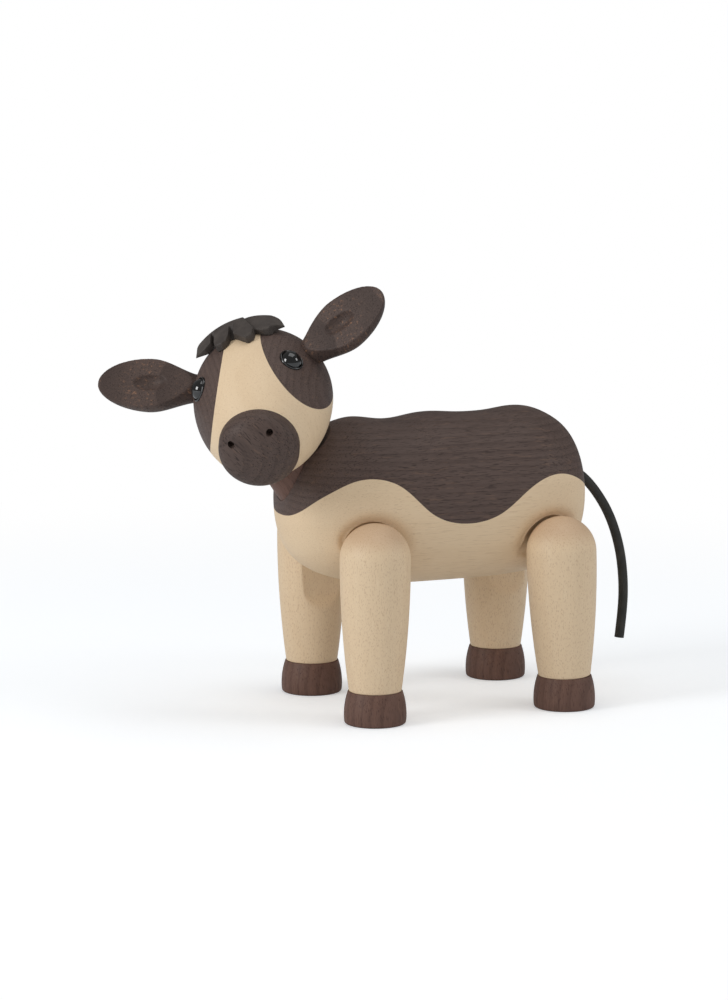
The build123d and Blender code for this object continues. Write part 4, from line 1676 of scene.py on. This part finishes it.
    def fill(
        self, place: np.ndarray, height: np.ndarray, fine: np.ndarray
    ) -> tuple[np.ndarray, np.ndarray]:
        """Adds points across the strap's outer face, between its front and back corners.

        Args:
            place: Places back from the front edge, by column and section point.
            height: Heights as shares of the thickness.
            fine: Shares of the outer face's run at which points are added.

        Returns:
            The places and heights with the added points.
        """
        step = np.abs(np.diff(place[len(place) // 2]))
        gap = int(np.argmax(np.where(height[0, 1:] > 0.99, step, 0)))
        first, last = place[:, gap : gap + 1], place[:, gap + 1 : gap + 2]
        added = first * (1 - fine) + last * fine
        return tuple(
            np.concatenate((part[:, : gap + 1], more, part[:, gap + 1 :]), axis=1)
            for part, more in ((place, added), (height, np.ones_like(added)))
        )

    def cap(self, strap: Piece) -> None:
        """Closes the strap's open end."""
        with mesh_work(strap) as work:
            rim = [edge for edge in work.edges if edge.is_boundary]
            bmesh.ops.holes_fill(work, edges=rim, sides=0)


# ---------------------------------------------------------------- tail


@dataclass
class Tail:
    """Leather cord glued into the rump, hanging in one slack curve."""

    diameter: float = 3.1
    length: float = 67.46
    route: tuple[Triple, ...] = (
        (-42.6, 0.0, 74.3), (-49.6, 0.0, 69.9), (-55.3, 0.0, 63.9), (-60.6, 0.0, 55.4),
        (-64.2, 0.0, 44.6), (-65.6, 0.0, 33.8), (-65.4, 0.0, 24.0), (-64.2, 0.0, 15.1),
    )

    def build(self) -> None:
        """Makes the cord as one smooth spline."""
        points = np.array(self.route) * MM + ORIGIN
        curve = bpy.data.curves.new("tail_cord", "CURVE")
        curve.dimensions = "3D"
        line = curve.splines.new("NURBS")
        line.points.add(len(points) - 1)
        line.points.foreach_set("co", np.column_stack((points, np.ones(len(points)))).ravel())
        line.order_u = 3
        line.use_endpoint_u = True
        line.resolution_u = 12
        curve.bevel_depth = self.diameter / 2 * MM
        curve.bevel_resolution = 6
        curve.use_fill_caps = True
        cord = bpy.data.objects.new("tail_cord", curve)
        bpy.context.scene.collection.objects.link(cord)
        dress(cord, "torso", "tail", CORD.material("leather_tail"))


# ---------------------------------------------------------------- hidden dowels


def dress_dowels() -> None:
    """Gives the dowels inside the figurine their beech finish."""
    material = BEECH.material("beech_dowels", Grain((0.0, 20.0, 0.0), (0.0, 0.0, 1.0)))
    for name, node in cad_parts.items():
        if "dowel" in name or "pin" in name:
            for slot in node.material_slots:
                slot.material = material
            LOG.info("%s keeps its solid", name)


# ---------------------------------------------------------------- studio


@dataclass(frozen=True)
class Lamp:
    """Square soft lamp: where it is seen from the figurine, how large and how strong."""

    name: str
    right: float
    up: float
    back: float
    distance: float
    size: Pair
    power: float


@dataclass
class Studio:
    """White floor and room, soft lamps and the camera."""

    azimuth: float = 22.332
    elevation: float = 9.158
    distance: float = 1350.44
    aim_right: float = -23.224
    aim_up: float = 63.203
    lens: float = 152.494
    sensor: float = 36.0
    clip: Pair = (0.05, 20.0)
    lamp_aim: Triple = (0.0, 0.0, 0.07)
    floor_half: float = 3.0
    floor_colour: Colour = (0.82, 0.85, 0.88)
    floor_roughness: float = 0.9
    floor_glow: float = 0.33
    floor_fade: Pair = (0.16, 0.42)
    room_light: float = 0.44
    room_gloss: float = 0.2
    lamps: tuple[Lamp, ...] = (
        Lamp("lamp_key", -0.83, 0.3, 0.56, 1.1, (0.38, 0.48), 4.6),
        Lamp("lamp_fill", 0.88, 0.4, 0.3, 1.3, (0.38, 0.46), 2.0),
        Lamp("lamp_top", 0.14, 0.95, 0.2, 1.2, (0.9, 0.9), 3.2),
    )

    def directions(self) -> tuple[np.ndarray, np.ndarray, np.ndarray]:
        """The camera's right, up and back."""
        turn, rise = math.radians(self.azimuth), math.radians(self.elevation)
        back = np.array(
            (math.sin(turn) * math.cos(rise), math.cos(turn) * math.cos(rise), math.sin(rise))
        )
        right = np.array((-math.cos(turn), math.sin(turn), 0.0))
        return right, np.cross(back, right), back

    def build(self) -> None:
        """Makes the camera, the lamps, the floor and the room."""
        self.build_camera()
        for lamp in self.lamps:
            self.build_lamp(lamp)
        self.build_floor()
        self.build_room()

    def build_camera(self) -> None:
        """Makes the camera at the photograph's place."""
        right, up, back = self.directions()
        place = (right * self.aim_right + up * self.aim_up + back * self.distance) * MM + ORIGIN
        camera = bpy.data.cameras.new("camera")
        camera.lens, camera.sensor_width = self.lens, self.sensor
        camera.clip_start, camera.clip_end = self.clip
        holder = bpy.data.objects.new("camera", camera)
        holder.matrix_world = Matrix(
            [[*row, shift] for row, shift in zip(np.stack((right, up, back), axis=1).tolist(), place)]
            + [[0.0, 0.0, 0.0, 1.0]]
        )
        bpy.context.scene.collection.objects.link(holder)
        bpy.context.scene.camera = holder

    def build_lamp(self, lamp: Lamp) -> None:
        """Makes one lamp, which looks at the figurine's middle.

        Args:
            lamp: The lamp.
        """
        right, up, back = self.directions()
        way = unit(right * lamp.right + up * lamp.up + back * lamp.back)
        light = bpy.data.lights.new(lamp.name, "AREA")
        light.shape = "RECTANGLE"
        light.size, light.size_y = lamp.size
        light.energy = lamp.power
        holder = bpy.data.objects.new(lamp.name, light)
        holder.location = Vector(self.lamp_aim) + Vector(way) * lamp.distance
        holder.rotation_euler = Vector(way).to_track_quat("Z", "Y").to_euler()
        bpy.context.scene.collection.objects.link(holder)

    def build_floor(self) -> None:
        """Makes the floor: pale paper that the camera sees as white, with the shadow left on it."""
        half = self.floor_half
        mesh = bpy.data.meshes.new("floor")
        mesh.from_pydata(
            [(-half, -half, 0.0), (half, -half, 0.0), (half, half, 0.0), (-half, half, 0.0)],
            [], [(0, 1, 2, 3)],
        )
        floor = bpy.data.objects.new("floor", mesh)
        bpy.context.scene.collection.objects.link(floor)
        graph = Graph(bpy.data.materials.new("paper_floor"))
        far = graph.node("ShaderNodeVectorMath", operation="LENGTH")
        graph.join(far.inputs[0], graph.object_place())
        fade = graph.band(far.outputs["Value"], *self.floor_fade)
        graph.join(graph.shader.inputs["Base Color"], (*self.floor_colour, 1.0))
        graph.join(graph.shader.inputs["Roughness"], self.floor_roughness)
        graph.join(graph.shader.inputs["Specular IOR Level"], 0.0)
        paper = graph.shader.outputs[0]
        lifted = graph.node("ShaderNodeAddShader")
        graph.join(lifted.inputs[0], paper)
        graph.join(lifted.inputs[1], graph.glow(self.floor_glow))
        faded = graph.mixed(fade, lifted.outputs[0], graph.glow(1.0))
        chosen = graph.mixed(graph.seen(), paper, faded)
        graph.join(graph.tree.nodes["Material Output"].inputs["Surface"], chosen)
        mesh.materials.append(graph.owner)

    def build_room(self) -> None:
        """Makes the room: even soft light, white to the camera and dim in reflections."""
        world = bpy.data.worlds.new("room")
        bpy.context.scene.world = world
        graph = Graph(world, "Background")
        glossy = graph.node("ShaderNodeLightPath").outputs["Is Glossy Ray"]
        dim = graph.node("ShaderNodeMapRange")
        low, high = self.room_light, self.room_gloss
        graph.join_all(dim, **{"Value": glossy, "To Min": low, "To Max": high})
        strength = graph.node("ShaderNodeMapRange")
        values = {"Value": graph.seen(), "To Min": dim.outputs[0], "To Max": 1.0}
        graph.join_all(strength, **values)
        graph.join(graph.shader.inputs["Color"], (1.0, 1.0, 1.0, 1.0))
        graph.join(graph.shader.inputs["Strength"], strength.outputs[0])


# ---------------------------------------------------------------- the figurine


def main() -> None:
    """Builds the studio and every part of the figurine, and reports each piece."""
    logging.basicConfig(level=logging.INFO, format="%(message)s")
    bpy.context.scene.view_settings.view_transform = "Standard"
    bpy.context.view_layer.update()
    Studio().build()
    Tail().build()

    places = NeckPlaces()
    legs = {corner: Leg(corner) for corner in Corner}
    legs[Corner.REAR_LEFT].lean = 1.35
    Barrel(places).build({corner: leg.hip for corner, leg in legs.items()})
    leg_grains = {
        Corner.FRONT_LEFT: Grain((17.2, -10.7, 0.0), (0.01, 0.01, 1.0)),
        Corner.FRONT_RIGHT: Grain((20.8, -63.2, 0.0), (0.0, 0.01, 1.0)),
        Corner.REAR_LEFT: Grain((-23.4, -13.5, 0.0), (0.02, 0.0, 1.0)),
        Corner.REAR_RIGHT: Grain((-32.3, -66.2, 0.0), (0.0, 0.0, 1.0)),
    }
    hoof_grains = {
        corner: Grain((leg.hip[0] + 20.0, leg.hip[1] - 26.0, 0.0), (0.05, 0.03, 1.0))
        for corner, leg in legs.items()
    }
    for corner, leg in legs.items():
        leg.build(leg_grains[corner], hoof_grains[corner])

    Neck(places).build()
    head = Head(places)
    head.build()
    for side in Side:
        ear = Ear(head, side)
        _, axis, face = ear.directions()
        pith = tuple(head.axes.origin - face * 24.0)
        ear.build(Grain(pith, tuple(unit(axis * 0.55 + face * 0.83))))
        Eye(head, side).build()
    Forelock(head).build()
    dress_dowels()


if __name__ == "__main__":
    main()
